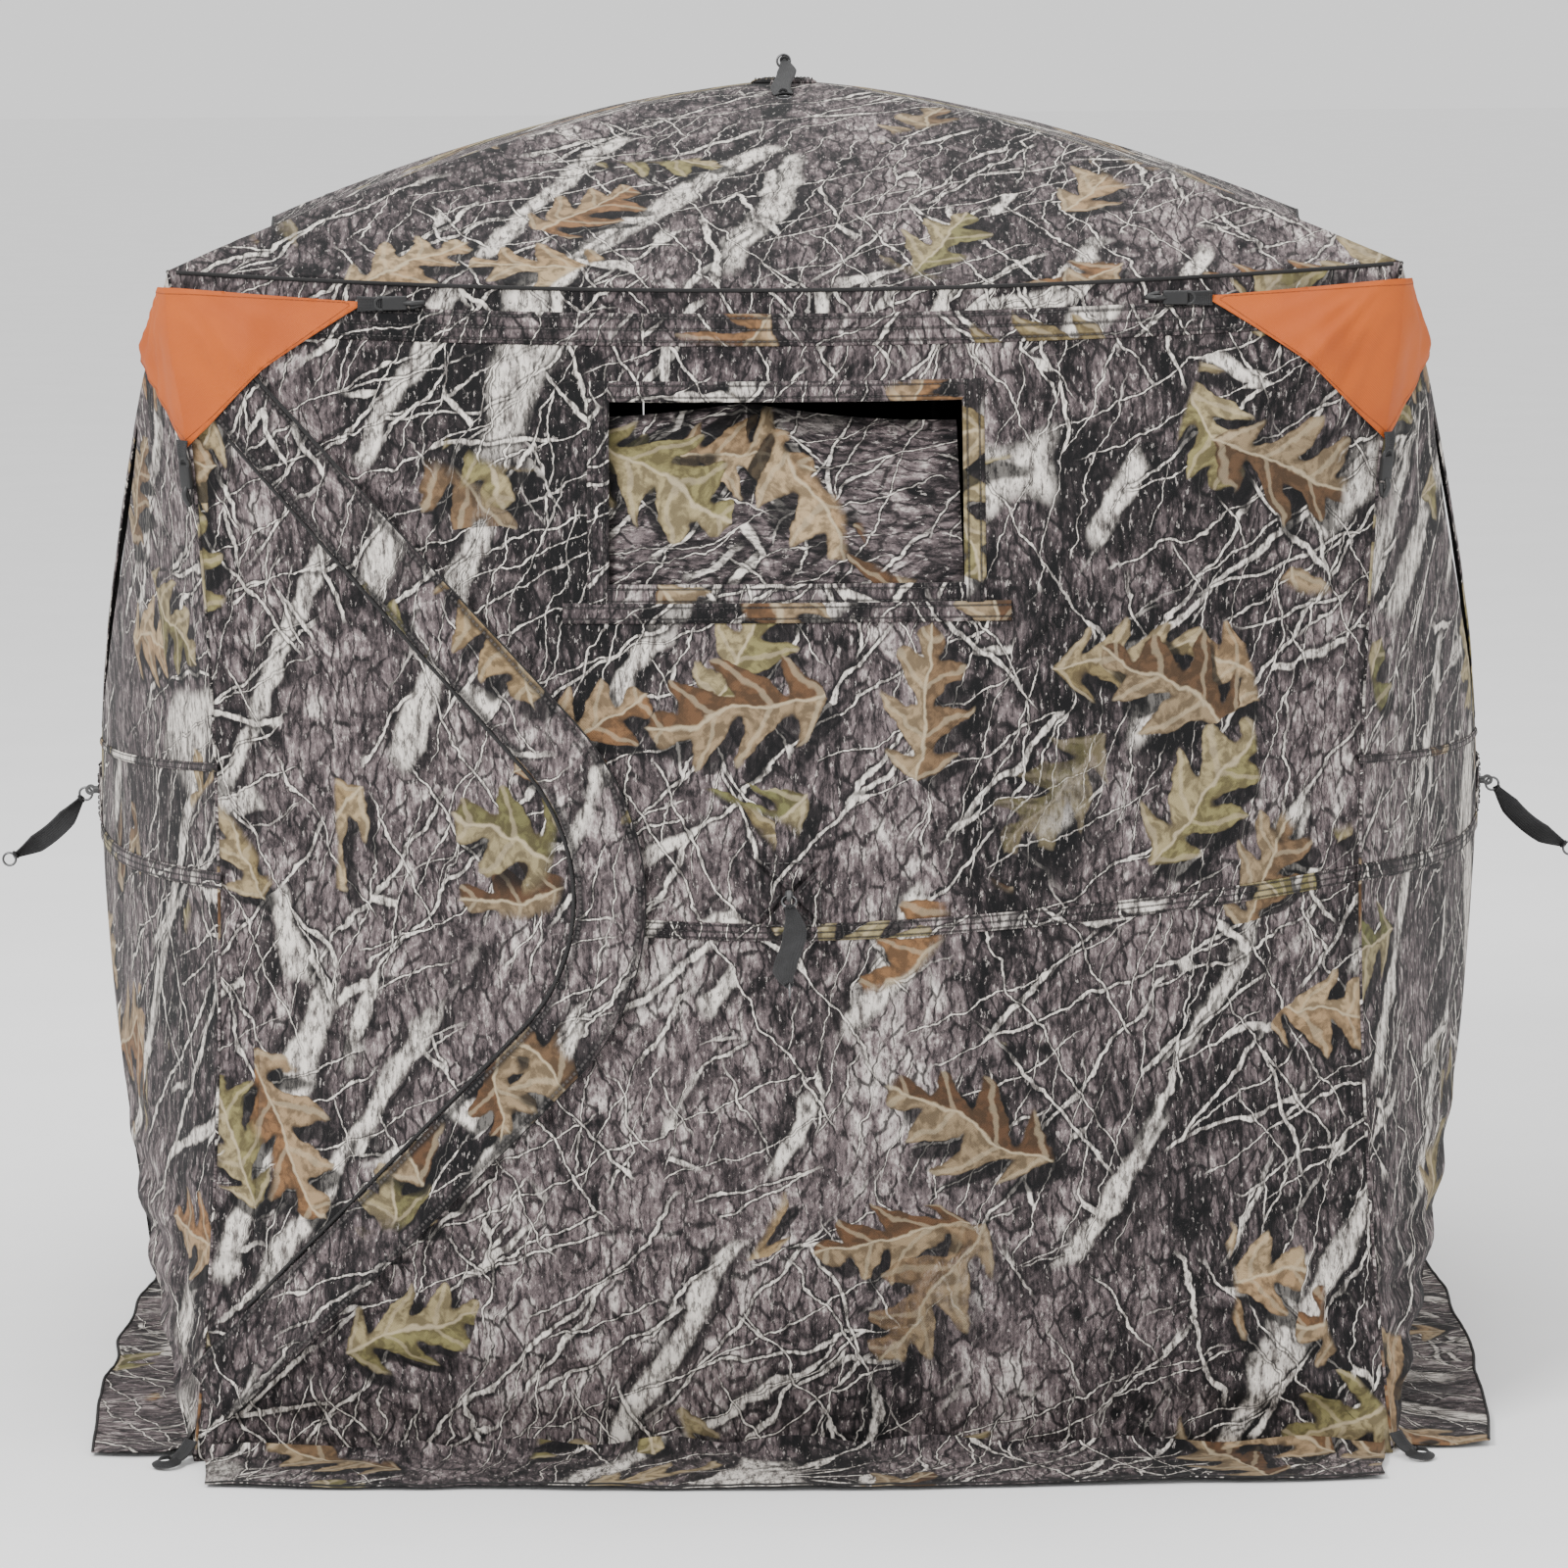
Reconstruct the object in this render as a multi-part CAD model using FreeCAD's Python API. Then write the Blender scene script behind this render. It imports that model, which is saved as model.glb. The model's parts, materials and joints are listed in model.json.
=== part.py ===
"""A pop up ground blind: five fabric panels, each stretched by four rods on a hub that pushes in to fold."""

import FreeCAD, Part
from collections import namedtuple
import math
import os

V = FreeCAD.Vector

# Overall sizes, in millimetres. X is to the right of the door wall, Y to the rear and Z up.
base_width = 1470.0
eave_height = 1457.0
wall_bulge = 177.0
roof_rise = 201.5

# Fabric
fabric_thickness = 1.5
wall_bow = 18.0
roof_bow = 25.0
bow_steps = 4
hinge_gap = 4.0
diagonal_gap = 4.0
hub_clearance = 17.0

# Hubs
hub_radius = 45.0
hub_height = 18.0
hub_depth = 18.0
hub_round = 2.0
slot_width = 11.0
pivot_radius = 30.0
pin_radius = 2.5
pin_bearing = 5.5
bolt_head_radius = 11.0
bolt_head_height = 4.0
stem_radius = 5.0
stem_proud = 14.0
eye_wall = 4.0
eye_thickness = 5.0
eye_clearance = 1.5
eye_overlap = 2.0

# Rods
rod_radius = 4.5
ferrule_wall = 2.0
ferrule_length = 50.0
ferrule_socket = 30.0
slot_clearance = 1.0
tongue_step = 1.0
tongue_proud = 9.0
tongue_root_clearance = 6.5
pin_clearance = 0.1
tip_wall = 1.5
tip_round = 3.6
tip_length = 22.0
tip_socket = 14.0
tip_setback = 62.0

# Pull straps
ring_radius = 8.5
ring_wire = 1.5
strap_length = 138.0
strap_width = 25.0
strap_thickness = 2.0
strap_loop_width = 7.0
strap_ring_clearance = 1.4
strap_taper = 22.0
# How far each strap leans down from its hub's outward axis, in degrees.
wall_strap_droop = 40.0
roof_strap_droop = 104.0

# Windows and their covers; a drop is measured down from the eave
window_width = 420.0
window_drop = 161.0
window_height = 210.0
side_window_drop = 207.0
side_window_height = 400.0
side_window_rod_margin = 60.0
cover_overlap = 14.0
cover_thickness = 2.0
cover_gap = 3.0

# Door; its nose is the rounded end beside the hub
door_sill = 110.0
door_top_drop = 114.0
door_head_drop = 277.0
door_nose_to_hub = 227.0
door_nose_radius = 240.0
door_nose_below_hub = 10.5
door_gap = 1.5
door_hinge_gap = 8.0

# Corner flags, their hooks, the ground skirt and the stake loops
flag_along_eave = 212.0
flag_down_corner = 204.0
flag_top = 22.0
flag_thickness = 1.5
flag_gap = 1.5
flag_wrap = 8.0
hook_length = 64.0
hook_width = 13.0
hook_thickness = 4.0
hook_gap = 2.0
corner_hook_gap = 4.0
skirt_width = 140.0
skirt_thickness = 2.0
skirt_clearance = 1.6
cap_size = 18.0
cap_gap = 2.0
cap_clearance = 6.0
cap_round = 5.0
loop_offset = 30.0
loop_hole_radius = 6.0
loop_width = 26.0
loop_thickness = 3.0
loop_start = 10.0

half_width = base_width / 2
half_eave = eave_height / 2
corner_cutback = cap_gap + cap_size + cap_clearance
hub_opening = hub_radius + hub_clearance
pin_length = slot_width + 2 * pin_bearing
ferrule_radius = rod_radius + ferrule_wall
tip_radius = rod_radius + tip_wall
tongue_width = slot_width - slot_clearance
tongue_height = 2 * (ferrule_radius - tongue_step)
tongue_reach = hub_radius - pivot_radius + tongue_proud
slot_root = pivot_radius - tongue_height / 2 - tongue_root_clearance
eye_hole_radius = ring_wire + eye_clearance
eye_radius = eye_hole_radius + eye_wall
eye_level = hub_depth + stem_proud + eye_radius - eye_overlap
strap_loop_bore = ring_wire + strap_ring_clearance
skirt_end_gap = loop_width * math.sqrt(0.5) + skirt_clearance
X = V(1, 0, 0)
Y = V(0, 1, 0)
Z = V(0, 0, 1)

# A panel's directions across, up and outward, its centre, half height, bulge and fabric bow, and the names of its
# sides in the order across, up, and their opposites.
Panel = namedtuple("Panel", "across up out centre half_height bulge bow sides")
PANELS = {
    "front": Panel(X, Z, -Y, V(0, -half_width, half_eave), half_eave, wall_bulge, wall_bow,
                   ("right", "top", "left", "bottom")),
    "right": Panel(Y, Z, X, V(half_width, 0, half_eave), half_eave, wall_bulge, wall_bow,
                   ("back", "top", "front", "bottom")),
    "back": Panel(-X, Z, Y, V(0, half_width, half_eave), half_eave, wall_bulge, wall_bow,
                  ("left", "top", "right", "bottom")),
    "left": Panel(-Y, Z, -X, V(-half_width, 0, half_eave), half_eave, wall_bulge, wall_bow,
                  ("front", "top", "back", "bottom")),
    "roof": Panel(X, Y, Z, V(0, 0, eave_height), half_width, roof_rise, roof_bow,
                  ("right", "back", "left", "front")),
}

WALLS = ["front", "right", "back", "left"]


def frame(origin, x_axis, y_axis, z_axis):
    """The placement that carries a shape from its own axes to the given ones."""
    return FreeCAD.Placement(FreeCAD.Matrix(
        x_axis.x, y_axis.x, z_axis.x, origin.x,
        x_axis.y, y_axis.y, z_axis.y, origin.y,
        x_axis.z, y_axis.z, z_axis.z, origin.z,
        0, 0, 0, 1))


def placed(shape, placement):
    """A copy of the shape, moved by the placement."""
    result = shape.copy()
    result.Placement = placement.multiply(result.Placement)
    return result


def save(name, solids):
    """Write one node as a STEP file of one or more solids."""
    shape = solids[0] if len(solids) == 1 else Part.makeCompound(solids)
    shape.exportStep("parts/" + name + ".step")


def polygon(points):
    """A flat face through the points."""
    return Part.Face(Part.makePolygon(points + [points[0]]))


def prism(outline, low, high):
    """An upright block on a flat outline of (x, y) pairs."""
    return polygon([V(x, y, low) for x, y in outline]).extrude(V(0, 0, high - low))


def cylinder(radius, start, end):
    """A round bar between two points."""
    return Part.makeCylinder(radius, (end - start).Length, start, end - start)


class Gore:
    """One triangle of a panel's fabric. Its own axes: x along the panel's edge, y to the hub, z outward."""

    def __init__(self, panel_name, side):
        panel = PANELS[panel_name]
        turn = [(panel.across, panel.up, half_width, panel.half_height),
                (panel.up, -panel.across, panel.half_height, half_width),
                (-panel.across, -panel.up, half_width, panel.half_height),
                (-panel.up, panel.across, panel.half_height, half_width)][side]
        outward, along, self.reach, self.half_base = turn
        self.name = panel_name + "_gore_" + panel.sides[side]
        self.bow = panel.bow
        self.lean = math.atan2(panel.bulge, self.reach)
        self.slant = math.hypot(panel.bulge, self.reach)
        inward = -outward * math.cos(self.lean) + panel.out * math.sin(self.lean)
        normal = outward * math.sin(self.lean) + panel.out * math.cos(self.lean)
        self.placement = frame(panel.centre + outward * self.reach, along, inward, normal)
        self.end = self.reach - hub_opening

    def height(self, y):
        """The bowed fabric's height above the flat line from edge to hub."""
        part = y / self.slant
        return 4 * self.bow * part * (1 - part)

    def half_length(self, y, gap):
        """Half the gore's length along the panel's edge, at a distance from that edge."""
        return self.half_base - (y + gap) * self.half_base / self.reach

    def slab(self, start, end, bottom, thickness):
        """A bowed sheet as long as the edge, whose underside stands a given height off the fabric's line."""
        rows = [start + (end - start) * step / bow_steps for step in range(bow_steps + 1)]
        upper = [V(-self.half_base, y, self.height(y) + bottom + thickness) for y in rows]
        lower = [V(-self.half_base, y, self.height(y) + bottom) for y in reversed(rows)]
        return polygon(upper + lower).extrude(V(2 * self.half_base, 0, 0))

    def outline(self):
        """The gore's flat pattern, kept back from its neighbours so that it clears them as the panel folds."""
        base = self.half_base - corner_cutback
        shoulder = corner_cutback * self.reach / self.half_base - diagonal_gap
        tip = self.half_length(self.end, diagonal_gap)
        return [(-base, 0), (base, 0), (base, shoulder), (tip, self.end), (-tip, self.end), (-base, shoulder)]

    def fabric(self):
        """The gore's fabric, with no openings cut."""
        sheet = self.slab(hinge_gap, self.end, -fabric_thickness, fabric_thickness)
        return sheet.common(prism(self.outline(), -self.slant, self.slant))

    def down(self, drop):
        """Distance down the gore from the eave for a drop measured straight down."""
        return drop / math.cos(self.lean)

    def cut(self, shape, outline):
        """The shape with an opening of the given outline cut through it."""
        return shape.cut(prism(outline, -self.slant, self.slant))


def block(gore, start_x, start_y):
    """A block through the gore, from a place in its own x and y to its far end."""
    far_x = gore.half_base
    far_y = gore.slant
    outline = [(start_x, start_y), (far_x, start_y), (far_x, far_y), (start_x, far_y)]
    return prism(outline, -gore.slant, gore.slant)


def window_outline(gore, drop, height, width, margin):
    """A window's outline: a rectangle, or with no width a trapezoid that runs beside the rods."""
    near = gore.down(drop) - margin
    far = gore.down(drop + height) + margin
    if width:
        half_near = half_far = width / 2 + margin
    else:
        half_near = gore.half_length(near, side_window_rod_margin)
        half_far = gore.half_length(far, side_window_rod_margin)
    return [(-half_near, near), (half_near, near), (half_far, far), (-half_far, far)]


def window_cover(gore, outline):
    """The flat cover that closes a window from inside."""
    near = outline[0][1]
    far = outline[2][1]
    top = min(gore.height(near), gore.height(far)) - fabric_thickness - cover_gap
    return prism(outline, top - cover_thickness, top)


def door_cutter(gore, gap):
    """A block on the doorway's outline: straight edges beside the two rods, a round nose and a level head."""
    # Worked out with x from the hinge line and y down from the middle of the wall.
    top = V(0, door_top_drop - half_eave + gap)
    bottom = V(0, half_eave - door_sill - gap)
    radius = door_nose_radius - gap
    centre = V(half_width - door_nose_to_hub - door_nose_radius, door_nose_below_hub)
    tangents = []
    for point, turn in ((top, -1), (bottom, 1)):
        away = V(centre.x - point.x, centre.y - point.y)
        swing = math.asin(radius / away.Length)
        heading = math.atan2(away.y, away.x) + turn * swing
        run = away.Length * math.cos(swing)
        tangents.append(V(point.x + run * math.cos(heading), point.y + run * math.sin(heading)))
    nose = V(centre.x + radius, centre.y)
    # The gore's own x runs down the wall and its y in from the hinge line.
    outline = [V(point.y, point.x, -gore.slant) for point in (top, tangents[0], nose, tangents[1], bottom)]
    top, first, nose, last, bottom = outline
    wire = Part.Wire([Part.LineSegment(top, first).toShape(), Part.Arc(first, nose, last).toShape(),
                      Part.LineSegment(last, bottom).toShape(), Part.LineSegment(bottom, top).toShape()])
    head = door_head_drop - half_eave + gap
    below_head = block(gore, head, 0)
    return Part.Face(wire).extrude(V(0, 0, 2 * gore.slant)).common(below_head)


def front_window(gore, margin):
    return window_outline(gore, window_drop, window_height, window_width, margin)


def side_window(gore, margin):
    return window_outline(gore, side_window_drop, side_window_height, 0, margin)


WINDOWS = {"front": front_window, "back": front_window, "left": side_window, "right": side_window}


def gores():
    """All the fabric gores, with the windows, their covers, the doorway and the door."""
    for panel in PANELS:
        for side in range(4):
            gore = Gore(panel, side)
            fabric = gore.fabric()
            if gore.name.endswith("_gore_top"):
                window = WINDOWS[panel]
                fabric = gore.cut(fabric, window(gore, 0))
                cover = window_cover(gore, window(gore, cover_overlap))
                save(panel + "_window_cover", [placed(cover, gore.placement)])
            if gore.name == "front_gore_left":
                beyond_hinge = block(gore, -gore.half_base, door_hinge_gap)
                leaf = fabric.common(door_cutter(gore, door_gap)).common(beyond_hinge)
                fabric = fabric.cut(door_cutter(gore, 0))
                save("door_leaf", [placed(leaf, gore.placement)])
            save(gore.name, [placed(solid, gore.placement) for solid in fabric.Solids])


def hub_frame(panel):
    """A hub's own axes: its centre on the rod pivots' level, x across, y up and z outward."""
    spec = PANELS[panel]
    return frame(spec.centre + spec.out * (spec.bulge - hub_depth), spec.across, spec.up, spec.out)


def rod_angles(panel):
    """The direction of each of a panel's four rods in the hub's own x and y, and its corner's distance."""
    half_height = PANELS[panel].half_height
    lean = math.atan2(half_height, half_width)
    return [lean, math.pi - lean, math.pi + lean, -lean], math.hypot(half_height, half_width)


def hub(panel):
    """A hub with its four pivot pins, its through bolt and the eye that the pull strap hangs from."""
    placement = hub_frame(panel)
    angles = rod_angles(panel)[0]
    half = hub_height / 2
    body = Part.makeCylinder(hub_radius, hub_height, V(0, 0, -half))
    body = body.makeFillet(hub_round, [body.Edges[0], body.Edges[2]])
    pins = []
    for angle in angles:
        turn = FreeCAD.Placement(V(), FreeCAD.Rotation(Z, math.degrees(angle)))
        slot = Part.makeBox(hub_radius, slot_width, hub_height, V(slot_root, -slot_width / 2, -half))
        pin = Part.makeCylinder(pin_radius, pin_length, V(pivot_radius, -pin_length / 2, 0), Y)
        body = body.cut(placed(slot, turn)).cut(placed(pin, turn))
        pins.append(placed(pin, turn))
    stem_top = eye_level - eye_radius + eye_overlap
    stem = Part.makeCylinder(stem_radius, stem_top + half, V(0, 0, -half))
    body = body.cut(stem)
    head = Part.makeCylinder(bolt_head_radius, bolt_head_height, V(0, 0, -half - bolt_head_height))
    eye = Part.makeCylinder(eye_radius, eye_thickness, V(-eye_thickness / 2, 0, eye_level), X)
    hole = Part.makeCylinder(eye_hole_radius, 2 * eye_radius, V(-eye_radius, 0, eye_level), X)
    bolt = stem.fuse(head).fuse(eye).cut(hole).removeSplitter()
    save(panel + "_hub", [placed(solid, placement) for solid in [body, bolt] + pins])


def rods(panel):
    """A panel's four rods, each a fibreglass shaft with a ferrule hinged on the hub and a cap at the corner."""
    right, top, left, bottom = PANELS[panel].sides
    angles, corner = rod_angles(panel)
    drop = math.atan2(PANELS[panel].bulge, corner)
    length = (corner - tip_setback - pivot_radius) / math.cos(drop)
    for angle, level, end in zip(angles, (top, top, bottom, bottom), (right, left, left, right)):
        tongue_corner = V(0, -tongue_width / 2, -tongue_height / 2)
        tongue = Part.makeBox(tongue_reach, tongue_width, tongue_height, tongue_corner)
        nose = Part.makeCylinder(tongue_height / 2, tongue_width, V(0, -tongue_width / 2, 0), Y)
        sleeve = Part.makeCylinder(ferrule_radius, ferrule_length, V(tongue_reach, 0, 0), X)
        eye = Part.makeCylinder(pin_radius + pin_clearance, slot_width, V(0, -slot_width / 2, 0), Y)
        shaft_start = tongue_reach + ferrule_length - ferrule_socket
        shaft_end = length - tip_length + tip_socket
        shaft = cylinder(rod_radius, V(shaft_start, 0, 0), V(shaft_end, 0, 0))
        ferrule = tongue.fuse(nose).fuse(sleeve).cut(eye).removeSplitter().cut(shaft)
        tip = cylinder(tip_radius, V(length - tip_length, 0, 0), V(length, 0, 0))
        tip = tip.makeFillet(tip_round, [tip.Edges[0]]).cut(shaft)
        turn = FreeCAD.Rotation(Z, math.degrees(angle)).multiply(FreeCAD.Rotation(Y, math.degrees(drop)))
        along = FreeCAD.Rotation(Z, math.degrees(angle)).multVec(X) * pivot_radius
        placement = hub_frame(panel).multiply(FreeCAD.Placement(along, turn))
        save(panel + "_rod_" + level + "_" + end, [placed(solid, placement) for solid in (ferrule, shaft, tip)])


def pull_strap(panel):
    """A webbing strap with a ring at each end; the first ring hangs in the hub's eye."""
    start = 2 * ring_radius
    end = strap_length
    half = strap_width / 2
    narrow = strap_loop_width / 2
    low = -strap_thickness / 2
    strap = prism([(-narrow, start), (-half, start + strap_taper), (-half, end - strap_taper), (-narrow, end),
                   (narrow, end), (half, end - strap_taper), (half, start + strap_taper), (narrow, start)],
                  low, low + strap_thickness)
    bores = []
    for level in (start, end):
        side = V(-narrow, level, 0)
        strap = strap.fuse(Part.makeCylinder(strap_loop_bore + strap_thickness, strap_loop_width, side, X))
        bores.append(Part.makeCylinder(strap_loop_bore, strap_loop_width, side, X))
    strap = strap.cut(bores[0]).cut(bores[1]).removeSplitter()
    near_ring = Part.makeTorus(ring_radius, ring_wire, V(0, ring_radius, 0), Z)
    far_ring = Part.makeTorus(ring_radius, ring_wire, V(0, end + ring_radius, 0), Z)
    droop = roof_strap_droop if panel == "roof" else wall_strap_droop
    away = FreeCAD.Rotation(X, 90 + droop)
    placement = hub_frame(panel).multiply(FreeCAD.Placement(V(0, 0, eye_level), away))
    save(panel + "_pull_strap", [placed(solid, placement) for solid in (near_ring, strap, far_ring)])


def corners():
    """The four upright corners: the wall to the right of each seen from outside, and the wall to its left."""
    return list(zip(WALLS, WALLS[-1:] + WALLS[:-1]))


def flag_half(panel, end):
    """The part of a corner flag on one wall: end is 1 for the wall's right end and -1 for its left."""
    spec = PANELS[panel]
    size = 2 * base_width
    rod_slope = spec.half_height / half_width
    slope = (flag_down_corner - flag_top) / flag_along_eave
    reach = flag_down_corner / (rod_slope + slope)

    def at(inward, down):
        return spec.centre + spec.across * end * (half_width - inward) + spec.up * (spec.half_height - down)

    middle = at(reach, reach * rod_slope)
    start = at(flag_top / rod_slope, flag_top)
    outlines = {1: [at(flag_along_eave, flag_top), middle, start],
                1 - end: [start, middle, at(0, flag_down_corner), at(-flag_wrap, flag_down_corner),
                          at(-flag_wrap, flag_top)]}
    # Each wall keeps to its own side of the upright plane through the corner.
    wedge = polygon([V(), (spec.out + spec.across) * size, (spec.out - spec.across) * size]).extrude(Z * size)
    pieces = []
    for side, outline in outlines.items():
        gore = Gore(panel, side)
        sheet = placed(gore.slab(-flag_wrap, gore.end, flag_gap, flag_thickness), gore.placement)
        cutter = polygon([point - spec.out * size for point in outline]).extrude(spec.out * 2 * size)
        pieces.append(sheet.common(cutter).common(wedge))
    return pieces


def eave_hook(panel, end):
    """The hook that holds a flag's upper point, lying along the wall under the eave."""
    gore = Gore(panel, 1)
    level = gore.height(flag_top + hook_width) + hook_gap
    inner = gore.half_base - flag_along_eave - hook_gap - hook_length
    low = V(-inner - hook_length if end > 0 else inner, flag_top, level)
    return placed(Part.makeBox(hook_length, hook_width, hook_thickness, low), gore.placement)


def corner_pieces():
    """The flags, their hooks, the rod pockets and the stake loops of the four corners."""
    flags = []
    hooks = []
    caps = []
    loops = []
    for right_wall, left_wall in corners():
        halves = flag_half(right_wall, -1) + flag_half(left_wall, 1)
        flags.append(halves[0].fuse(halves[1:]).removeSplitter())
        out = PANELS[right_wall].out + PANELS[left_wall].out
        corner = out * half_width
        away = out / out.Length
        outward_frame = frame(corner, away.cross(Z), away, Z)
        under_flag = eave_height - flag_down_corner - hook_gap - hook_length
        hook = Part.makeBox(hook_width, hook_thickness, hook_length,
                            V(-hook_width / 2, corner_hook_gap, under_flag))
        hooks += [eave_hook(right_wall, -1), eave_hook(left_wall, 1), placed(hook, outward_frame)]
        inner = cap_gap + cap_size / 2
        for level in (inner, eave_height - inner):
            cap = Part.makeBox(cap_size, cap_size, cap_size, V(-1, -1, -1) * (cap_size / 2))
            cap = cap.makeFillet(cap_round, cap.Edges)
            caps.append(placed(cap, FreeCAD.Placement(corner - out * inner + Z * level, FreeCAD.Rotation())))
        hole_reach = loop_offset * math.sqrt(2)
        loop_corner = V(-loop_width / 2, loop_start, 0)
        loop = Part.makeBox(loop_width, hole_reach - loop_start, loop_thickness, loop_corner)
        loop = loop.fuse(Part.makeCylinder(loop_width / 2, loop_thickness, V(0, hole_reach, 0)))
        hole = Part.makeCylinder(loop_hole_radius, loop_thickness, V(0, hole_reach, 0))
        loop = loop.cut(hole).removeSplitter()
        loops.append(placed(loop, outward_frame))
    save("corner_flags", flags)
    save("flag_hooks", hooks)
    save("corner_pockets", caps)
    save("stake_loops", loops)


def ground_skirt():
    """The four flaps of fabric that lie on the ground outside the walls."""
    flaps = []
    for panel in WALLS:
        spec = PANELS[panel]
        reach = half_width - skirt_end_gap
        flap = Part.makeBox(2 * reach, skirt_width, skirt_thickness, V(-reach, 0, 0))
        flaps.append(placed(flap, frame(spec.out * half_width, -spec.across, spec.out, Z)))
    save("ground_skirt", flaps)


os.makedirs("parts", exist_ok=True)
gores()
for panel in PANELS:
    hub(panel)
    rods(panel)
    pull_strap(panel)
corner_pieces()
ground_skirt()
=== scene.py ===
"""The looks of the pop up ground blind: cloth, seams, flags, straps and skirt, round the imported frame."""

import json
import math

import bmesh
import bpy
import numpy as np
from mathutils import Matrix, Vector, geometry


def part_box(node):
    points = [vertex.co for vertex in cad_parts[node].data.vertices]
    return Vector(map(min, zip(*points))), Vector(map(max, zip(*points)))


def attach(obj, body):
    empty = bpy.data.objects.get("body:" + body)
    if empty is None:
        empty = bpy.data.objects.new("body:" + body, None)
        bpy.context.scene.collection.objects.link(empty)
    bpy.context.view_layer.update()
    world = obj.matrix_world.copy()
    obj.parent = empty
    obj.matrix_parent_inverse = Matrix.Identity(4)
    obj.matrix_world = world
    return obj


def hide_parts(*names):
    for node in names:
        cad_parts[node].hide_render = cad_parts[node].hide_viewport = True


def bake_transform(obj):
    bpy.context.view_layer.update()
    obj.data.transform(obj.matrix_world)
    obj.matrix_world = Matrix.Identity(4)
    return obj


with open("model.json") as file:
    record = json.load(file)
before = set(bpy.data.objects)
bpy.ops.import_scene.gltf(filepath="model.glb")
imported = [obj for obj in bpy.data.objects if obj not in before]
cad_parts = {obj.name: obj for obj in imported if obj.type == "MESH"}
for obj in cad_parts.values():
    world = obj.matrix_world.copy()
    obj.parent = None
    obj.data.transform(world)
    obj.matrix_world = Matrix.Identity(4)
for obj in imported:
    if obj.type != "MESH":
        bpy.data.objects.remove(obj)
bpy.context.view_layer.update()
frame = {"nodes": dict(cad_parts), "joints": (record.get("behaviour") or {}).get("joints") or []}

JOINTS = {joint["name"]: joint for joint in frame["joints"]}
HALF = -JOINTS["front_gore_left_fold"]["pos_m"][0]
EAVE = JOINTS["front_gore_top_fold"]["pos_m"][2]
HALF_EAVE = EAVE / 2
WALL_BULGE = JOINTS["front_hub_push"]["range_m"][1] / 2
ROOF_RISE = JOINTS["roof_hub_push"]["range_m"][1] / 2

# Cloth, in metres
CLOTH = 0.0012
STRIP_CLOTH = 0.0009
GRID = 0.0125
WALL_BOW = 0.018
ROOF_BOW = 0.026
SEAM_PULL = 0.041
EAVE_PULL = 0.029
HEM_PULL = 0.012
HUB_ROUND = 0.05
FOLD_FROM, FOLD_TO = 0.045, 0.21
CORNER_DRAG, DRAG_REACH = 0.0056, 0.26
SOFT_WAVE, FINE_WAVE, LOW_CREASE = 0.0030, 0.0011, 0.0062

X = Vector((1, 0, 0))
Y = Vector((0, 1, 0))
Z = Vector((0, 0, 1))
WALLS = ("front", "right", "back", "left")


# ---------------------------------------------------------------- noise

def lattice(ix, iy, seed):
    """A repeatable random number from 0 to 1 for each whole-number grid point."""
    n = np.sin(ix * 127.1 + iy * 311.7 + seed * 74.7) * 43758.5453
    return n - np.floor(n)


def value_noise(x, y, seed=0.0):
    """Smooth noise from -1 to 1."""
    ix, iy = np.floor(x), np.floor(y)
    fx, fy = x - ix, y - iy
    fx, fy = fx * fx * (3 - 2 * fx), fy * fy * (3 - 2 * fy)
    low = lattice(ix, iy, seed) * (1 - fx) + lattice(ix + 1, iy, seed) * fx
    high = lattice(ix, iy + 1, seed) * (1 - fx) + lattice(ix + 1, iy + 1, seed) * fx
    return 2 * (low * (1 - fy) + high * fy) - 1


def fractal(x, y, seed=0.0, octaves=3):
    total = 0
    for octave in range(octaves):
        total = total + value_noise(x * 2 ** octave, y * 2 ** octave, seed + octave) / 2 ** octave
    return total / 1.75


# ---------------------------------------------------------------- the stretched panels

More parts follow.
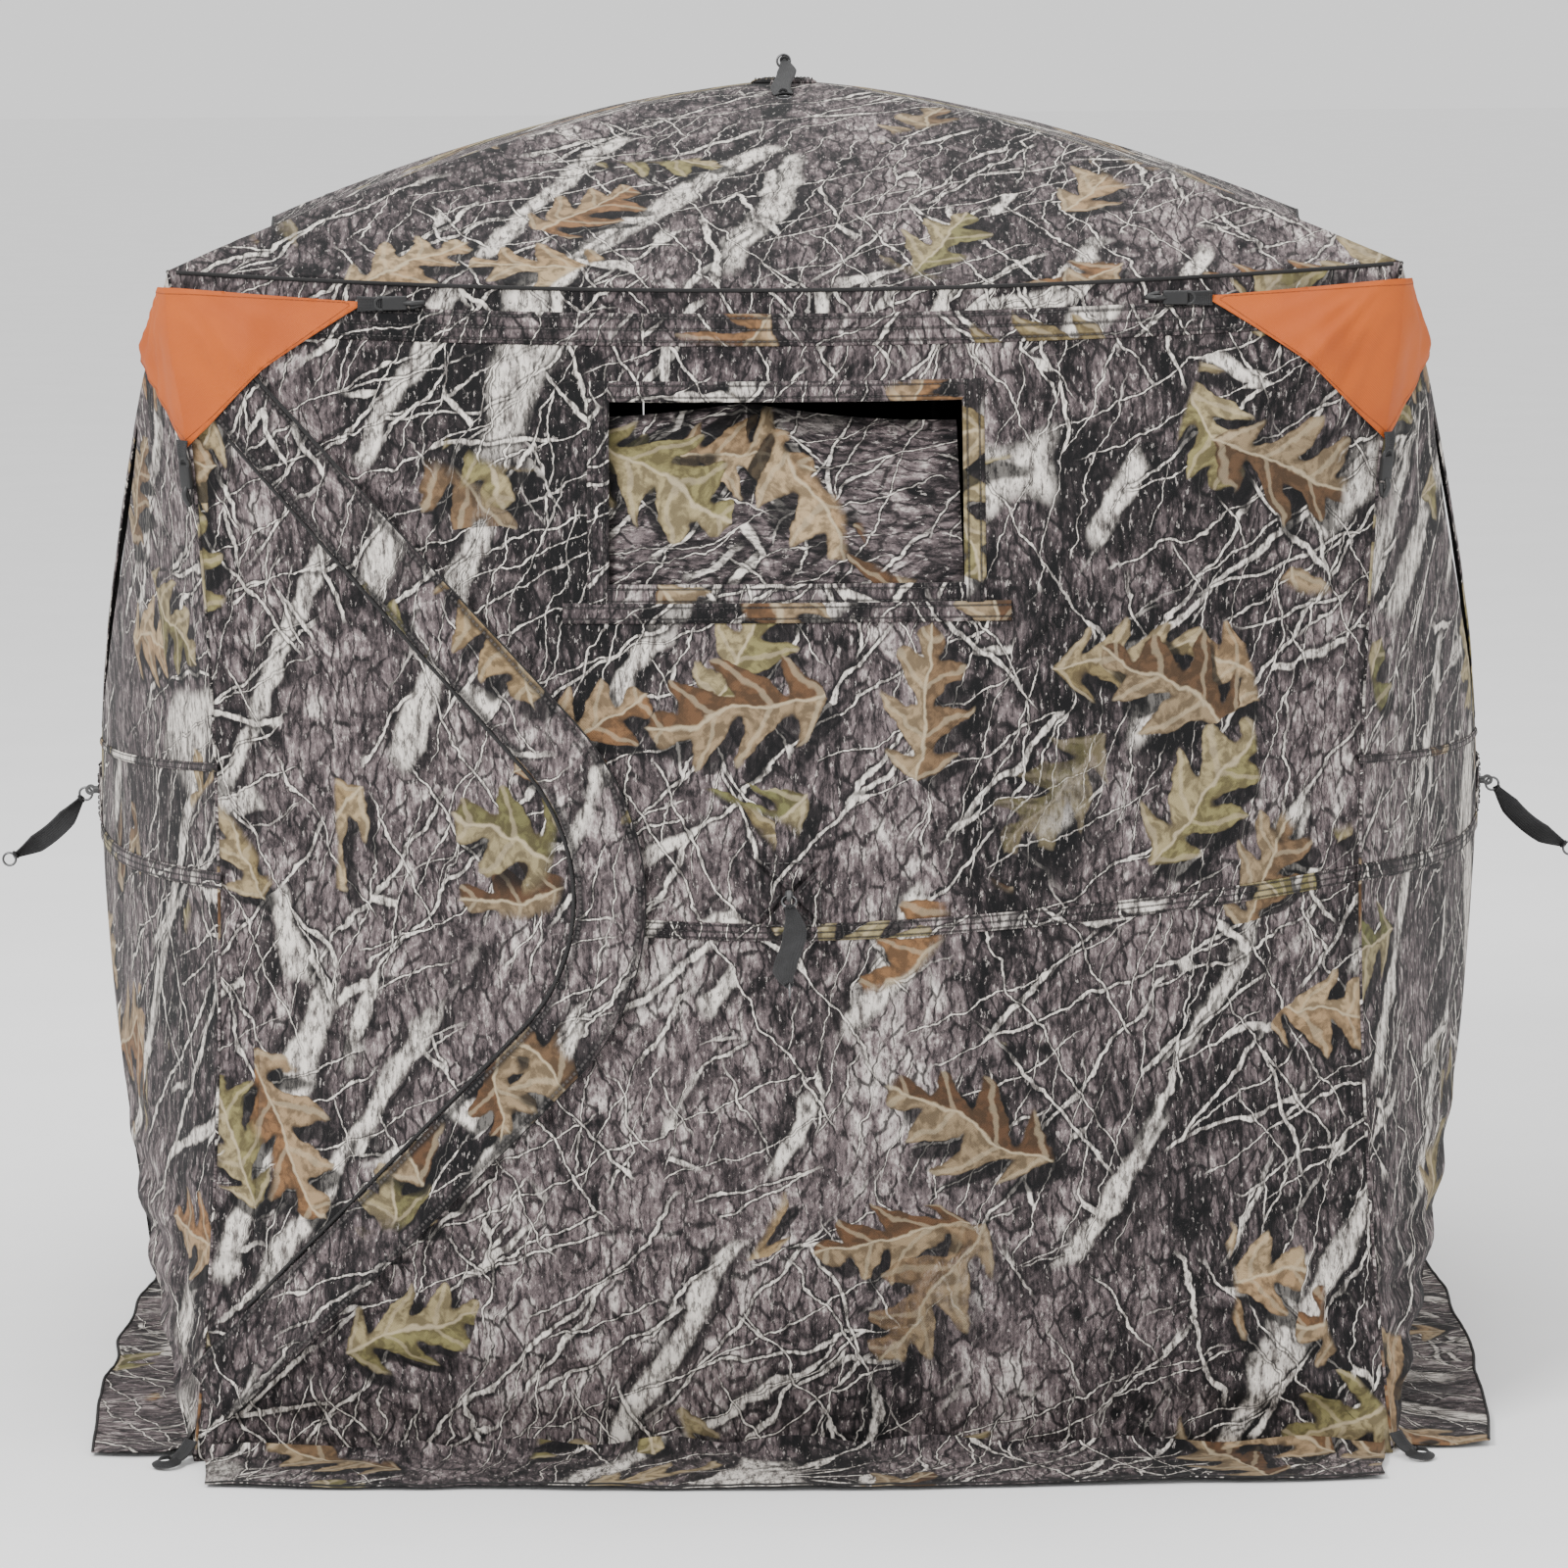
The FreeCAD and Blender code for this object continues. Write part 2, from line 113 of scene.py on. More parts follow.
class Panel:
    """One stretched panel. Places on it are (x, y) in metres across and up from its centre, on the flat."""

    def __init__(self, name, across, up, out, centre, half_height, bulge, bow, sides, pulls):
        self.name = name
        self.across, self.up, self.out, self.centre = across, up, out, centre
        self.half_height, self.bulge, self.bow = half_height, bulge, bow
        self.sides = sides
        self.pulls = pulls
        self.seed = 11.0 + 7.0 * len(name) + ord(name[0])

    def size(self, side):
        return HALF if side % 2 == 0 else self.half_height

    def wrinkles(self, x, y):
        """Small folds: drag lines from the corners, soft waves over the cloth and a pucker by the hub."""
        total = np.zeros_like(x)
        for index, (sx, sy) in enumerate(((-1, -1), (1, -1), (-1, 1), (1, 1))):
            dx, dy = HALF - x * sx, self.half_height - y * sy
            radius = np.hypot(dx, dy) + 1e-6
            angle = np.arctan2(dy, dx)
            strong = 1.0 if sy < 0 and self.name != "roof" else 0.45
            rays = np.sin(angle * (15 + 4 * index) + 3 * fractal(radius * 2.2, angle * 2, self.seed + index))
            fade = np.clip(radius / 0.10, 0, 1) * np.exp(-radius / DRAG_REACH)
            total = total + CORNER_DRAG * strong * rays * fade
        total = total + SOFT_WAVE * fractal(x * 2.6, y * 2.2, self.seed)
        total = total + FINE_WAVE * fractal(x * 9.0, y * 5.0, self.seed + 5)
        if self.name != "roof":
            low = np.clip((-0.42 - y / self.half_height) * 4, 0, 1)
            creases = np.sin(y * 95 + 2.5 * fractal(x * 3, y * 3, self.seed + 9))
            patches = np.clip(fractal(x * 2.4, y * 5, self.seed + 3) + 0.40, 0, 1)
            total = total + LOW_CREASE * low * creases * patches
        edge = np.maximum(np.abs(x) / HALF, np.abs(y) / self.half_height)
        return total * np.clip((1 - edge) * 14, 0, 1) * np.clip(edge * 9, 0, 1)

    def place(self, x, y, lift=0.0):
        """The points of the cloth over flat places, lifted off it by a height."""
        x, y = np.asarray(x, float), np.asarray(y, float)
        a, b = x / HALF, y / self.half_height
        t = np.maximum(np.abs(a), np.abs(b))
        rounded = np.sqrt(t * t + HUB_ROUND ** 2) - HUB_ROUND * (1 - t)
        height = self.bulge * (1 - rounded) + 4 * self.bow * t * (1 - t)
        safe = np.maximum(t, 1e-6)
        horizontal = np.abs(a) >= np.abs(b)
        side = np.where(horizontal, np.where(a > 0, 0, 2), np.where(b > 0, 1, 3))
        across_share = np.where(horizontal, b, a) / safe
        slack = (1 - across_share ** 2) * t ** 3
        inward = np.choose(side, [pull[0] for pull in self.pulls]) * slack
        down = np.choose(side, [pull[1] for pull in self.pulls]) * slack
        height = height - down + self.wrinkles(x, y) + lift
        x = x - np.where(horizontal, np.sign(a) * inward, 0)
        y = y - np.where(horizontal, 0, np.sign(b) * inward)
        origin, across, up, out = (np.array(v) for v in (self.centre, self.across, self.up, self.out))
        return origin + np.outer(x, across) + np.outer(y, up) + np.outer(height, out)

    def gore(self, side):
        """The body that carries a side's gore."""
        return self.name + "_gore_" + self.sides[side]

    def corners(self, side):
        """The gore's triangle on the flat: hub, then the edge's two ends."""
        w, h = HALF, self.half_height
        ends = [((w, -h), (w, h)), ((w, h), (-w, h)), ((-w, h), (-w, -h)), ((-w, -h), (w, -h))][side]
        return [(0.0, 0.0), ends[0], ends[1]]

    def edge_points(self, side):
        """Two points on a gore: near its edge, and well on to it."""
        outward = [self.across, self.up, -self.across, -self.up][side]
        edge = self.centre + outward * self.size(side)
        return edge - outward * FOLD_FROM, edge - outward * FOLD_TO


wall_pulls = [(SEAM_PULL, SEAM_PULL), (EAVE_PULL, EAVE_PULL), (SEAM_PULL, SEAM_PULL), (0.0, HEM_PULL)]
roof_pulls = [(EAVE_PULL, EAVE_PULL)] * 4
PANELS = {}
for label, across, out, ends in (("front", X, -Y, ("right", "left")), ("right", Y, X, ("back", "front")),
                                 ("back", -X, Y, ("left", "right")), ("left", -Y, -X, ("front", "back"))):
    PANELS[label] = Panel(label, across, Z, out, out * HALF + Z * HALF_EAVE, HALF_EAVE, WALL_BULGE, WALL_BOW,
                          (ends[0], "top", ends[1], "bottom"), wall_pulls)
PANELS["roof"] = Panel("roof", X, Y, Z, Vector((0, 0, EAVE)), HALF, ROOF_RISE, ROOF_BOW,
                       ("right", "back", "left", "front"), roof_pulls)


# ---------------------------------------------------------------- mesh making

# Where each panel's cloth was cut from the printed roll.
PRINT_SHIFT = {"front": (10.0, 10.0), "right": (14.3, 10.4), "back": (19.1, 10.9), "left": (24.7, 10.2),
               "roof": (30.2, 14.6)}


def add_mesh(name, points, faces, material, uv=None, second_uv=None):
    """A mesh object with smooth faces and up to two UV maps given for each point."""
    mesh = bpy.data.meshes.new(name)
    mesh.from_pydata([tuple(p) for p in points], [], [tuple(f) for f in faces])
    mesh.update()
    corner_vertex = np.zeros(len(mesh.loops), int)
    mesh.loops.foreach_get("vertex_index", corner_vertex)
    for label, values in (("UVMap", uv), ("Strip", second_uv)):
        if values is not None:
            layer = mesh.uv_layers.new(name=label)
            layer.data.foreach_set("uv", np.asarray(values, float)[corner_vertex].astype(np.float32).ravel())
    mesh.shade_smooth()
    mesh.materials.append(material)
    piece = bpy.data.objects.new(name, mesh)
    bpy.context.scene.collection.objects.link(piece)
    return piece


def thicken(piece, thickness, inside=None, offset=-1):
    """Give a sheet its thickness, inward unless told otherwise, with another material on the inner face."""
    solid = piece.modifiers.new("Thickness", "SOLIDIFY")
    solid.thickness = thickness
    solid.offset = offset
    if inside:
        piece.data.materials.append(inside)
        solid.material_offset = len(piece.data.materials) - 1
        solid.material_offset_rim = 0
    graph = bpy.context.evaluated_depsgraph_get()
    mesh = bpy.data.meshes.new_from_object(piece.evaluated_get(graph))
    piece.modifiers.clear()
    piece.data = mesh
    return piece


def grid_faces(rows, columns):
    """The faces over rows of points, each row a point longer than its count of columns."""
    row = columns + 1
    return [(k * row + j, k * row + j + 1, (k + 1) * row + j + 1, (k + 1) * row + j)
            for k in range(rows) for j in range(columns)]


def line(start, end, step):
    """Points from start up to, not including, end."""
    start, end = np.array(start, float), np.array(end, float)
    count = max(1, int(round(np.linalg.norm(end - start) / step)))
    return [tuple(start + (end - start) * k / count) for k in range(count)]


def closed(corners, step=GRID):
    """A closed outline through corners, with points every step."""
    points = []
    for start, end in zip(corners, corners[1:] + corners[:1]):
        points += line(start, end, step)
    return points


def inside(px, py, outline):
    """Which points are within an outline."""
    result = np.zeros(len(px), bool)
    ox, oy = np.array(outline).T
    for k in range(len(ox)):
        x0, y0, x1, y1 = ox[k - 1], oy[k - 1], ox[k], oy[k]
        crosses = (y0 > py) != (y1 > py)
        with np.errstate(divide="ignore", invalid="ignore"):
            at = (x1 - x0) * (py - y0) / (y1 - y0) + x0
        result ^= crosses & (px < at)
    return result


def near_outline(px, py, outline, gap):
    """Which points are closer to an outline's own points than a gap."""
    result = np.zeros(len(px), bool)
    for ox, oy in outline:
        result |= (px - ox) ** 2 + (py - oy) ** 2 < gap * gap
    return result


def fill(outline, holes=(), step=GRID):
    """Triangles over an outline less its holes: (points, faces) on the flat."""
    rings = [outline] + list(holes)
    low = np.min(outline, axis=0)
    high = np.max(outline, axis=0)
    grid_x, grid_y = np.meshgrid(np.arange(low[0], high[0], step), np.arange(low[1], high[1], step * 0.866))
    grid_x[1::2] += step / 2
    px, py = grid_x.ravel(), grid_y.ravel()
    keep = inside(px, py, outline)
    for hole in holes:
        keep &= ~inside(px, py, hole)
    px, py = px[keep], py[keep]
    for ring in rings:
        clear = ~near_outline(px, py, ring, step * 0.6)
        px, py = px[clear], py[clear]
    verts, edges = [], []
    for ring in rings:
        first, count = len(verts), len(ring)
        edges += [(first + k, first + (k + 1) % count) for k in range(count)]
        verts += [Vector(p) for p in ring]
    verts += [Vector(p) for p in zip(px, py)]
    found = geometry.delaunay_2d_cdt(verts, edges, [], 0, 1e-7)
    points = np.array([tuple(v) for v in found[0]])
    triangles = np.array([tuple(face) for face in found[2]])
    middle = points[triangles].mean(axis=1)
    keep = inside(middle[:, 0], middle[:, 1], outline)
    for hole in holes:
        keep &= ~inside(middle[:, 0], middle[:, 1], hole)
    return points, [tuple(int(v) for v in face) for face in triangles[keep]]


def facing(points, faces, out):
    """The faces, turned so that they face along out."""
    a, b, c = (points[[f[k] for f in faces]] for k in range(3))
    flip = np.cross(b - a, c - a) @ np.array(out) < 0
    return [f[::-1] if turn else f for f, turn in zip(faces, flip)]


def cloth(name, panel, outline, material, holes=(), lift=0.0, inner=None, thickness=CLOTH, step=GRID):
    """A sheet that follows a panel's stretched surface over an outline on the flat."""
    flat, faces = fill(outline, holes, step)
    points = panel.place(flat[:, 0], flat[:, 1], lift(flat) if callable(lift) else lift)
    faces = facing(points, faces, panel.out)
    piece = add_mesh(name, points, faces, material, flat + np.array(PRINT_SHIFT[panel.name]))
    thicken(piece, thickness, inner)
    return piece


# ---------------------------------------------------------------- materials

class Shader:
    """Builds one material's nodes."""

    def __init__(self, name, roughness=0.8, sheen=0.0, metallic=0.0):
        self.material = bpy.data.materials.new(name)
        self.material.use_nodes = True
        self.tree = self.material.node_tree
        self.surface = self.tree.nodes["Principled BSDF"]
        self.surface.inputs["Roughness"].default_value = roughness
        self.surface.inputs["Metallic"].default_value = metallic
        self.surface.inputs["Sheen Weight"].default_value = sheen
        self.surface.inputs["Sheen Roughness"].default_value = 0.45

    def connect(self, value, socket):
        if isinstance(value, bpy.types.NodeSocket):
            self.tree.links.new(value, socket)
        elif value is not None:
            socket.default_value = value

    def add(self, kind, inputs=(), **settings):
        node = self.tree.nodes.new("ShaderNode" + kind)
        for key, value in settings.items():
            setattr(node, key, value)
        for key, value in dict(inputs).items():
            self.connect(value, node.inputs[key])
        return node

    def math(self, operation, first, second=None, third=None):
        node = self.add("Math", operation=operation)
        for socket, value in zip(node.inputs, (first, second, third)):
            self.connect(value, socket)
        return node.outputs[0]

    def vector(self, operation, first, second=None):
        node = self.add("VectorMath", operation=operation)
        self.connect(first, node.inputs[0])
        self.connect(second, node.inputs["Scale" if operation == "SCALE" else 1])
        return node.outputs[0]

    def stretched(self, coordinates, scale, shift=(0, 0, 0), turn=0.0):
        """Coordinates turned by an angle, then scaled and shifted."""
        return self.vector("ADD", self.vector("MULTIPLY", self.turned(coordinates, turn), scale), shift)

    def turned(self, coordinates, angle):
        inputs = {"Vector": coordinates, "Angle": angle}
        return self.add("VectorRotate", inputs, rotation_type="Z_AXIS").outputs[0]

    def times(self, first, second):
        return self.math("MULTIPLY", first, second)

    def lay(self, colour, mask, share, paint):
        """A colour with a share of paint laid over it where a mask is."""
        return self.mix(self.times(mask, share), colour, paint)

    def noise(self, coordinates, scale=1.0, detail=3.0, rough=0.55, distortion=0.0):
        inputs = {"Vector": coordinates, "Scale": scale, "Detail": detail, "Roughness": rough}
        return self.add("TexNoise", {**inputs, "Distortion": distortion}).outputs["Fac"]

    def cells(self, coordinates, feature="F1", spread=1.0):
        return self.add("TexVoronoi", {"Vector": coordinates, "Scale": 1.0, "Randomness": spread},
                        feature=feature, voronoi_dimensions="2D")

    def above(self, value, threshold, soft=0.02):
        """0 below a threshold and 1 above it, with a soft step."""
        inputs = {"Value": value, "From Min": threshold - soft, "From Max": threshold + soft}
        return self.add("MapRange", inputs, interpolation_type="SMOOTHSTEP").outputs[0]

    def below(self, value, threshold, soft=0.02):
        return self.math("SUBTRACT", 1.0, self.above(value, threshold, soft))

    def mix(self, factor, first, second):
        node = self.add("Mix", data_type="RGBA")
        for index, value in ((0, factor), (6, first), (7, second)):
            self.connect(value if index == 0 or isinstance(value, bpy.types.NodeSocket) else (*value, 1.0),
                         node.inputs[index])
        return node.outputs[2]

    def ramp(self, factor, stops):
        node = self.add("ValToRGB", {"Fac": factor})
        points = node.color_ramp.elements
        while len(points) < len(stops):
            points.new(0.5)
        for point, (place, colour) in zip(points, stops):
            point.position = place
            point.color = (*colour, 1.0)
        return node.outputs[0]

    def finish(self, colour, height=None, depth=0.001, roughness=None):
        self.connect(colour, self.surface.inputs["Base Color"])
        if roughness is not None:
            self.connect(roughness, self.surface.inputs["Roughness"])
        if height is not None:
            bump = self.add("Bump", {"Height": height, "Distance": depth})
            self.connect(bump.outputs[0], self.surface.inputs["Normal"])
        return self.material


BARK = (0.066, 0.052, 0.054)
BARK_LIGHT = (0.165, 0.130, 0.132)
BARK_DARK = (0.020, 0.016, 0.017)
CHARCOAL = (0.0035, 0.0035, 0.0040)
BLEACHED = (0.64, 0.585, 0.55)
TWIG = (0.72, 0.67, 0.61)
BARK_TONES = ((0.64, CHARCOAL), (0.69, BARK_DARK), (0.745, BARK), (0.82, BARK_LIGHT), (0.93, BLEACHED))
LEAF_TONES = ((0.0, (0.22, 0.115, 0.052)), (0.26, (0.070, 0.036, 0.019)), (0.50, (0.31, 0.205, 0.110)),
              (0.70, (0.085, 0.092, 0.034)), (0.88, (0.19, 0.165, 0.070)))


def leaves(shader, place, size, shift, density):
    """One layer of lobed leaves: (where a leaf is, its shadow, its colour)."""
    scaled = shader.vector("ADD", shader.vector("SCALE", place, 1 / size), shift)
    cell = shader.cells(scaled, spread=0.75)
    random = shader.add("SeparateColor", {"Color": cell.outputs["Color"]})
    local = shader.vector("SUBTRACT", scaled, cell.outputs["Position"])
    angle = shader.times(random.outputs[0], 2 * math.pi)
    there = shader.above(random.outputs[2], 1 - density, 0.01)

    def shape(offset):
        turned = shader.turned(shader.vector("ADD", local, offset), angle)
        split = shader.add("SeparateXYZ", {"Vector": turned})
        along, across = split.outputs[0], split.outputs[1]
        aside = shader.math("ABSOLUTE", across)
        # The lobes lean towards the leaf's tip.
        leaning = shader.math("SUBTRACT", along, shader.times(aside, 0.80))
        lobes = shader.math("SINE", shader.times(leaning, 25.0))
        reach = shader.math("MULTIPLY_ADD", along, 2.25, 0.06)
        taper = shader.math("SUBTRACT", 1.0, shader.math("POWER", shader.math("ABSOLUTE", reach), 2.6))
        width = shader.times(taper, shader.math("MULTIPLY_ADD", lobes, 0.100, 0.165))
        inner = shader.math("SUBTRACT", width, aside)
        return inner, across, aside, lobes

    inner, across, aside, lobes = shape((0, 0, 0))
    body = shader.above(inner, 0.004, 0.010)
    shadow = shader.above(shape((-0.05, 0.07, 0))[0], -0.012, 0.03)
    midrib = shader.below(aside, 0.008, 0.006)
    veins = shader.above(lobes, 0.93, 0.06)
    vein = shader.math("MAXIMUM", midrib, shader.times(veins, 0.5))
    tone = shader.ramp(random.outputs[1], LEAF_TONES)
    lit = shader.above(across, 0.0, 0.02)
    tone = shader.lay(tone, lit, 0.42, (0.42, 0.33, 0.20))
    worn = shader.noise(place, 70.0, 4.0)
    tone = shader.lay(tone, shader.below(worn, 0.50, 0.10), 0.60, (0.030, 0.020, 0.012))
    rim = shader.below(inner, 0.022, 0.014)
    tone = shader.lay(tone, rim, 0.45, (0.035, 0.022, 0.012))
    tone = shader.lay(tone, vein, 0.60, (0.48, 0.40, 0.27))
    return shader.times(body, there), shader.times(shadow, there), tone


def twigs(shader, place, warp, scale, turn, shift, width, keep):
    """Long crooked twigs: (where a twig is, its dark side)."""
    bent = shader.vector("ADD", place, warp)
    cell = shader.cells(shader.stretched(bent, scale, shift, turn), "DISTANCE_TO_EDGE")
    shown = shader.above(shader.noise(shader.vector("ADD", place, shift), 3.4, 1.0), keep, 0.02)
    distance = cell.outputs["Distance"]
    twig = shader.times(shader.below(distance, width, width * 0.35), shown)
    dark = shader.times(shader.below(distance, width * 2.6, width), shown)
    return twig, dark


def stitching(shader, rows, gauge=0.0062):
    """Rows of dashes at shares of a strip's width, from its own map of metres along and share across, with a
    sunk band beside each row that the materials darken as painted shade.
    """
    strip = shader.add("UVMap", uv_map="Strip").outputs[0]
    split = shader.add("SeparateXYZ", {"Vector": strip})
    along, across = split.outputs[0], split.outputs[1]
    dash = shader.below(shader.math("FRACT", shader.times(along, 1 / gauge)), 0.62, 0.12)
    total = None
    groove_and_painted_shade = None
    for row in rows:
        away = shader.math("ABSOLUTE", shader.math("SUBTRACT", across, row))
        thread = shader.times(shader.below(away, 0.020, 0.010), dash)
        furrow_and_painted_shade = shader.below(away, 0.055, 0.035)
        total = thread if total is None else shader.math("MAXIMUM", total, thread)
        groove_and_painted_shade = furrow_and_painted_shade if groove_and_painted_shade is None else shader.math("MAXIMUM", groove_and_painted_shade, furrow_and_painted_shade)
    return total, groove_and_painted_shade


def weave(shader, place, pitch):
    """Plain weave, over and under."""
    split = shader.add("SeparateXYZ", {"Vector": shader.vector("SCALE", place, math.pi / pitch)})
    return shader.times(*(shader.math("SINE", split.outputs[axis]) for axis in (0, 1)))


def camouflage(name, rows=()):
    """A generic woodland print on woven polyester, with rows of stitching where it is a hem or band, the sunk
    bands along them darkened as painted shade.
    """
    s = Shader(name, roughness=0.90, sheen=0.03)
    s.surface.inputs["Specular IOR Level"].default_value = 0.25
    place = s.add("UVMap", uv_map="UVMap").outputs[0]

    # Trunks and bark, with streaks that run up and down
    trunk = s.noise(s.stretched(place, (5.0, 1.0, 1)), 1.0, 3.0, 0.5, 0.8)
    streak = s.noise(s.stretched(place, (88.0, 22.0, 1)), 1.0, 8.0, 0.74)
    blotch = s.noise(s.stretched(place, (21.0, 13.0, 1), (3, 9, 0)), 1.0, 7.0, 0.70, 1.2)
    mixed = s.math("MULTIPLY_ADD", streak, 0.50, s.times(blotch, 0.60))
    mixed = s.math("MULTIPLY_ADD", trunk, 0.40, mixed)
    colour = s.ramp(mixed, BARK_TONES)
    drift = s.add("TexNoise", {"Vector": place, "Scale": 13.0, "Detail": 4.0}).outputs["Color"]
    warp = s.vector("SCALE", s.vector("SUBTRACT", drift, (0.5, 0.5, 0.5)), 0.055)
    warped = s.vector("ADD", place, warp)
    crack = s.cells(s.stretched(warped, (52.0, 17.0, 1), (5, 2, 0)), "DISTANCE_TO_EDGE").outputs["Distance"]
    cracked = s.times(s.below(crack, 0.060, 0.035), s.above(blotch, 0.46, 0.05))
    colour = s.lay(colour, cracked, 0.85, CHARCOAL)
    colour = s.lay(colour, s.above(streak, 0.655, 0.03), 0.45, BLEACHED)

    # Branches and twigs behind the leaves, most of them leaning to the right
    for scale, turn, shift, width, keep in (((3.4, 0.42, 1), 0.50, (2, 4, 0), 0.036, 0.51),
                                            ((9.5, 0.95, 1), 0.72, (6, 1, 0), 0.018, 0.51),
                                            ((17.0, 1.6, 1), 1.15, (1, 7, 0), 0.015, 0.50),
                                            ((25.0, 3.4, 1), 0.30, (4, 8, 0), 0.016, 0.50),
                                            ((14.0, 1.5, 1), -0.55, (9, 3, 0), 0.014, 0.53)):
        twig, dark = twigs(s, place, warp, scale, turn, shift, width, keep)
        grain = s.above(streak, 0.47, 0.10)
        colour = s.lay(colour, dark, 0.75, CHARCOAL)
        colour = s.mix(twig, colour, s.mix(grain, (0.10, 0.088, 0.082), TWIG))

    scratch = s.noise(s.stretched(place, (190.0, 62.0, 1), (3, 3, 0)), 1.0, 4.0, 0.7)
    colour = s.lay(colour, s.below(scratch, 0.44, 0.035), 0.68, CHARCOAL)
    colour = s.lay(colour, s.above(scratch, 0.615, 0.02), 0.42, BLEACHED)

    # Leaves in sprays, two layers deep
    spray = s.noise(s.stretched(place, (2.9, 2.4, 1), (4, 4, 0)), 1.0, 1.0)
    for size, shift, keep in ((0.215, (0.3, 0.7, 0), 0.47), (0.255, (5.4, 2.1, 0), 0.50)):
        body, shadow, tone = leaves(s, warped, size, shift, 0.60)
        shown = s.above(spray, keep, 0.01)
        colour = s.lay(colour, s.times(shadow, shown), 0.85, CHARCOAL)
        colour = s.mix(s.times(body, shown), colour, tone)

    height = s.times(weave(s, place, 0.0016), 0.12)
    crumple = s.noise(place, 38.0, 4.0, 0.6)
    height = s.math("MULTIPLY_ADD", crumple, 1.0, height)
    if rows:
        thread, groove_and_painted_shade = stitching(s, rows)
        # Painted shade: the sunk bands along the stitching are darkened towards charcoal.
        colour = s.lay(colour, groove_and_painted_shade, 0.70, CHARCOAL)
        colour = s.lay(colour, thread, 0.60, (0.075, 0.068, 0.066))
        height = s.math("SUBTRACT", height, s.times(groove_and_painted_shade, 0.7))
        height = s.math("ADD", height, s.times(thread, 1.1))
    return s.finish(colour, height, 0.0011)


def plain_cloth(name, colour, dark, pitch=0.0014, sheen=0.3, roughness=0.72, rows=(), mottle=0.35):
    """A dyed plain weave with slight fading, and painted shade where its threads dip under and along any
    stitching's sunk bands.
    """
    s = Shader(name, roughness=roughness, sheen=sheen)
    place = s.add("UVMap", uv_map="UVMap").outputs[0]
    faded = s.noise(place, 9.0, 4.0)
    shade = s.mix(s.times(s.above(faded, 0.5, 0.25), mottle), colour, dark)
    threads = weave(s, place, pitch)
    # Painted shade: darker where the weave's threads dip under.
    shade = s.lay(shade, s.below(threads, -0.2, 0.5), 0.20, dark)
    height = s.math("MULTIPLY_ADD", threads, 0.25, s.noise(place, 30.0, 3.0))
    if rows:
        thread, groove_and_painted_shade = stitching(s, rows)
        # Painted shade: the sunk bands along the stitching are darkened.
        shade = s.lay(shade, groove_and_painted_shade, 0.40, dark)
        shade = s.mix(thread, shade, tuple(0.55 * c for c in colour))
        height = s.math("ADD", s.math("SUBTRACT", height, groove_and_painted_shade), thread)
    return s.finish(shade, height, 0.0008)


def webbing(name):
    """Black ribbed nylon webbing, paler along its worn edges."""
    s = Shader(name, roughness=0.68, sheen=0.04)
    split = s.add("SeparateXYZ", {"Vector": s.add("UVMap", uv_map="Strip").outputs[0]})
    along, across = split.outputs[0], split.outputs[1]
    ribs = s.math("SINE", s.times(along, 2 * math.pi / 0.0022))
    wale = s.math("SINE", s.times(across, 2 * math.pi * 9))
    edge = s.above(s.math("ABSOLUTE", s.math("SUBTRACT", across, 0.5)), 0.43, 0.05)
    wear = s.noise(s.add("TexCoord").outputs["Object"], 70.0, 4.0)
    colour = s.ramp(wear, ((0.35, (0.0035, 0.0035, 0.004)), (0.65, (0.011, 0.011, 0.012))))
    colour = s.lay(colour, edge, 0.35, (0.040, 0.040, 0.042))
    height = s.math("MULTIPLY_ADD", ribs, 0.5, s.times(wale, 0.35))
    return s.finish(colour, height, 0.0005)


def moulded(name, colour, worn, roughness, metallic=0.0, grain=260.0):
    """Moulded plastic, fibreglass or metal, with fine grain and wear along its edges."""
    s = Shader(name, roughness=roughness, metallic=metallic)
    place = s.add("TexCoord").outputs["Object"]
    fine = s.noise(place, grain, 3.0)
    broad = s.noise(place, 22.0, 4.0)
    edges = s.above(s.add("NewGeometry").outputs["Pointiness"], 0.53, 0.03)
    shade = s.lay(colour, s.above(broad, 0.5, 0.2), 0.35, worn)
    shade = s.lay(shade, s.times(edges, fine), 0.8, worn)
    rough = s.math("MULTIPLY_ADD", broad, 0.18, roughness - 0.09)
    return s.finish(shade, fine, 0.0003, rough)


CAMO = camouflage("Woodland_cloth")
CAMO_BAND = camouflage("Woodland_band", (0.14, 0.50, 0.86))
CAMO_HEM = camouflage("Woodland_hem", (0.22, 0.78))
CAMO_FLAP = camouflage("Woodland_flap", (0.06, 0.93))
LINING = plain_cloth("Black_lining", (0.012, 0.012, 0.013), (0.006, 0.006, 0.006), sheen=0.05, roughness=0.9)
ORANGE = plain_cloth("Orange_cloth", (0.46, 0.088, 0.0), (0.32, 0.050, 0.0), sheen=0.0, rows=(0.85,),
                     mottle=0.6)
# Dark piping; also the material of the dark tube that is a painted shadow under the door flap's edge.
PIPING_AND_PAINTED_SHADOW = plain_cloth("Dark_piping", (0.012, 0.011, 0.011), (0.005, 0.005, 0.005), sheen=0.02, roughness=0.85)
WEBBING = webbing("Black_webbing")
THREAD = plain_cloth("Grey_thread", (0.070, 0.064, 0.062), (0.030, 0.028, 0.028), pitch=0.0006, sheen=0.0)
HOOK = moulded("Black_hook_plastic", (0.0035, 0.0035, 0.004), (0.020, 0.020, 0.020), 0.50)
HUB = moulded("Black_hub_plastic", (0.016, 0.016, 0.017), (0.12, 0.12, 0.12), 0.5)
POCKET = moulded("Black_pocket_plastic", (0.020, 0.020, 0.021), (0.11, 0.11, 0.11), 0.6)
GLASS_ROD = moulded("Black_fibreglass", (0.010, 0.010, 0.011), (0.09, 0.09, 0.09), 0.3, grain=500.0)
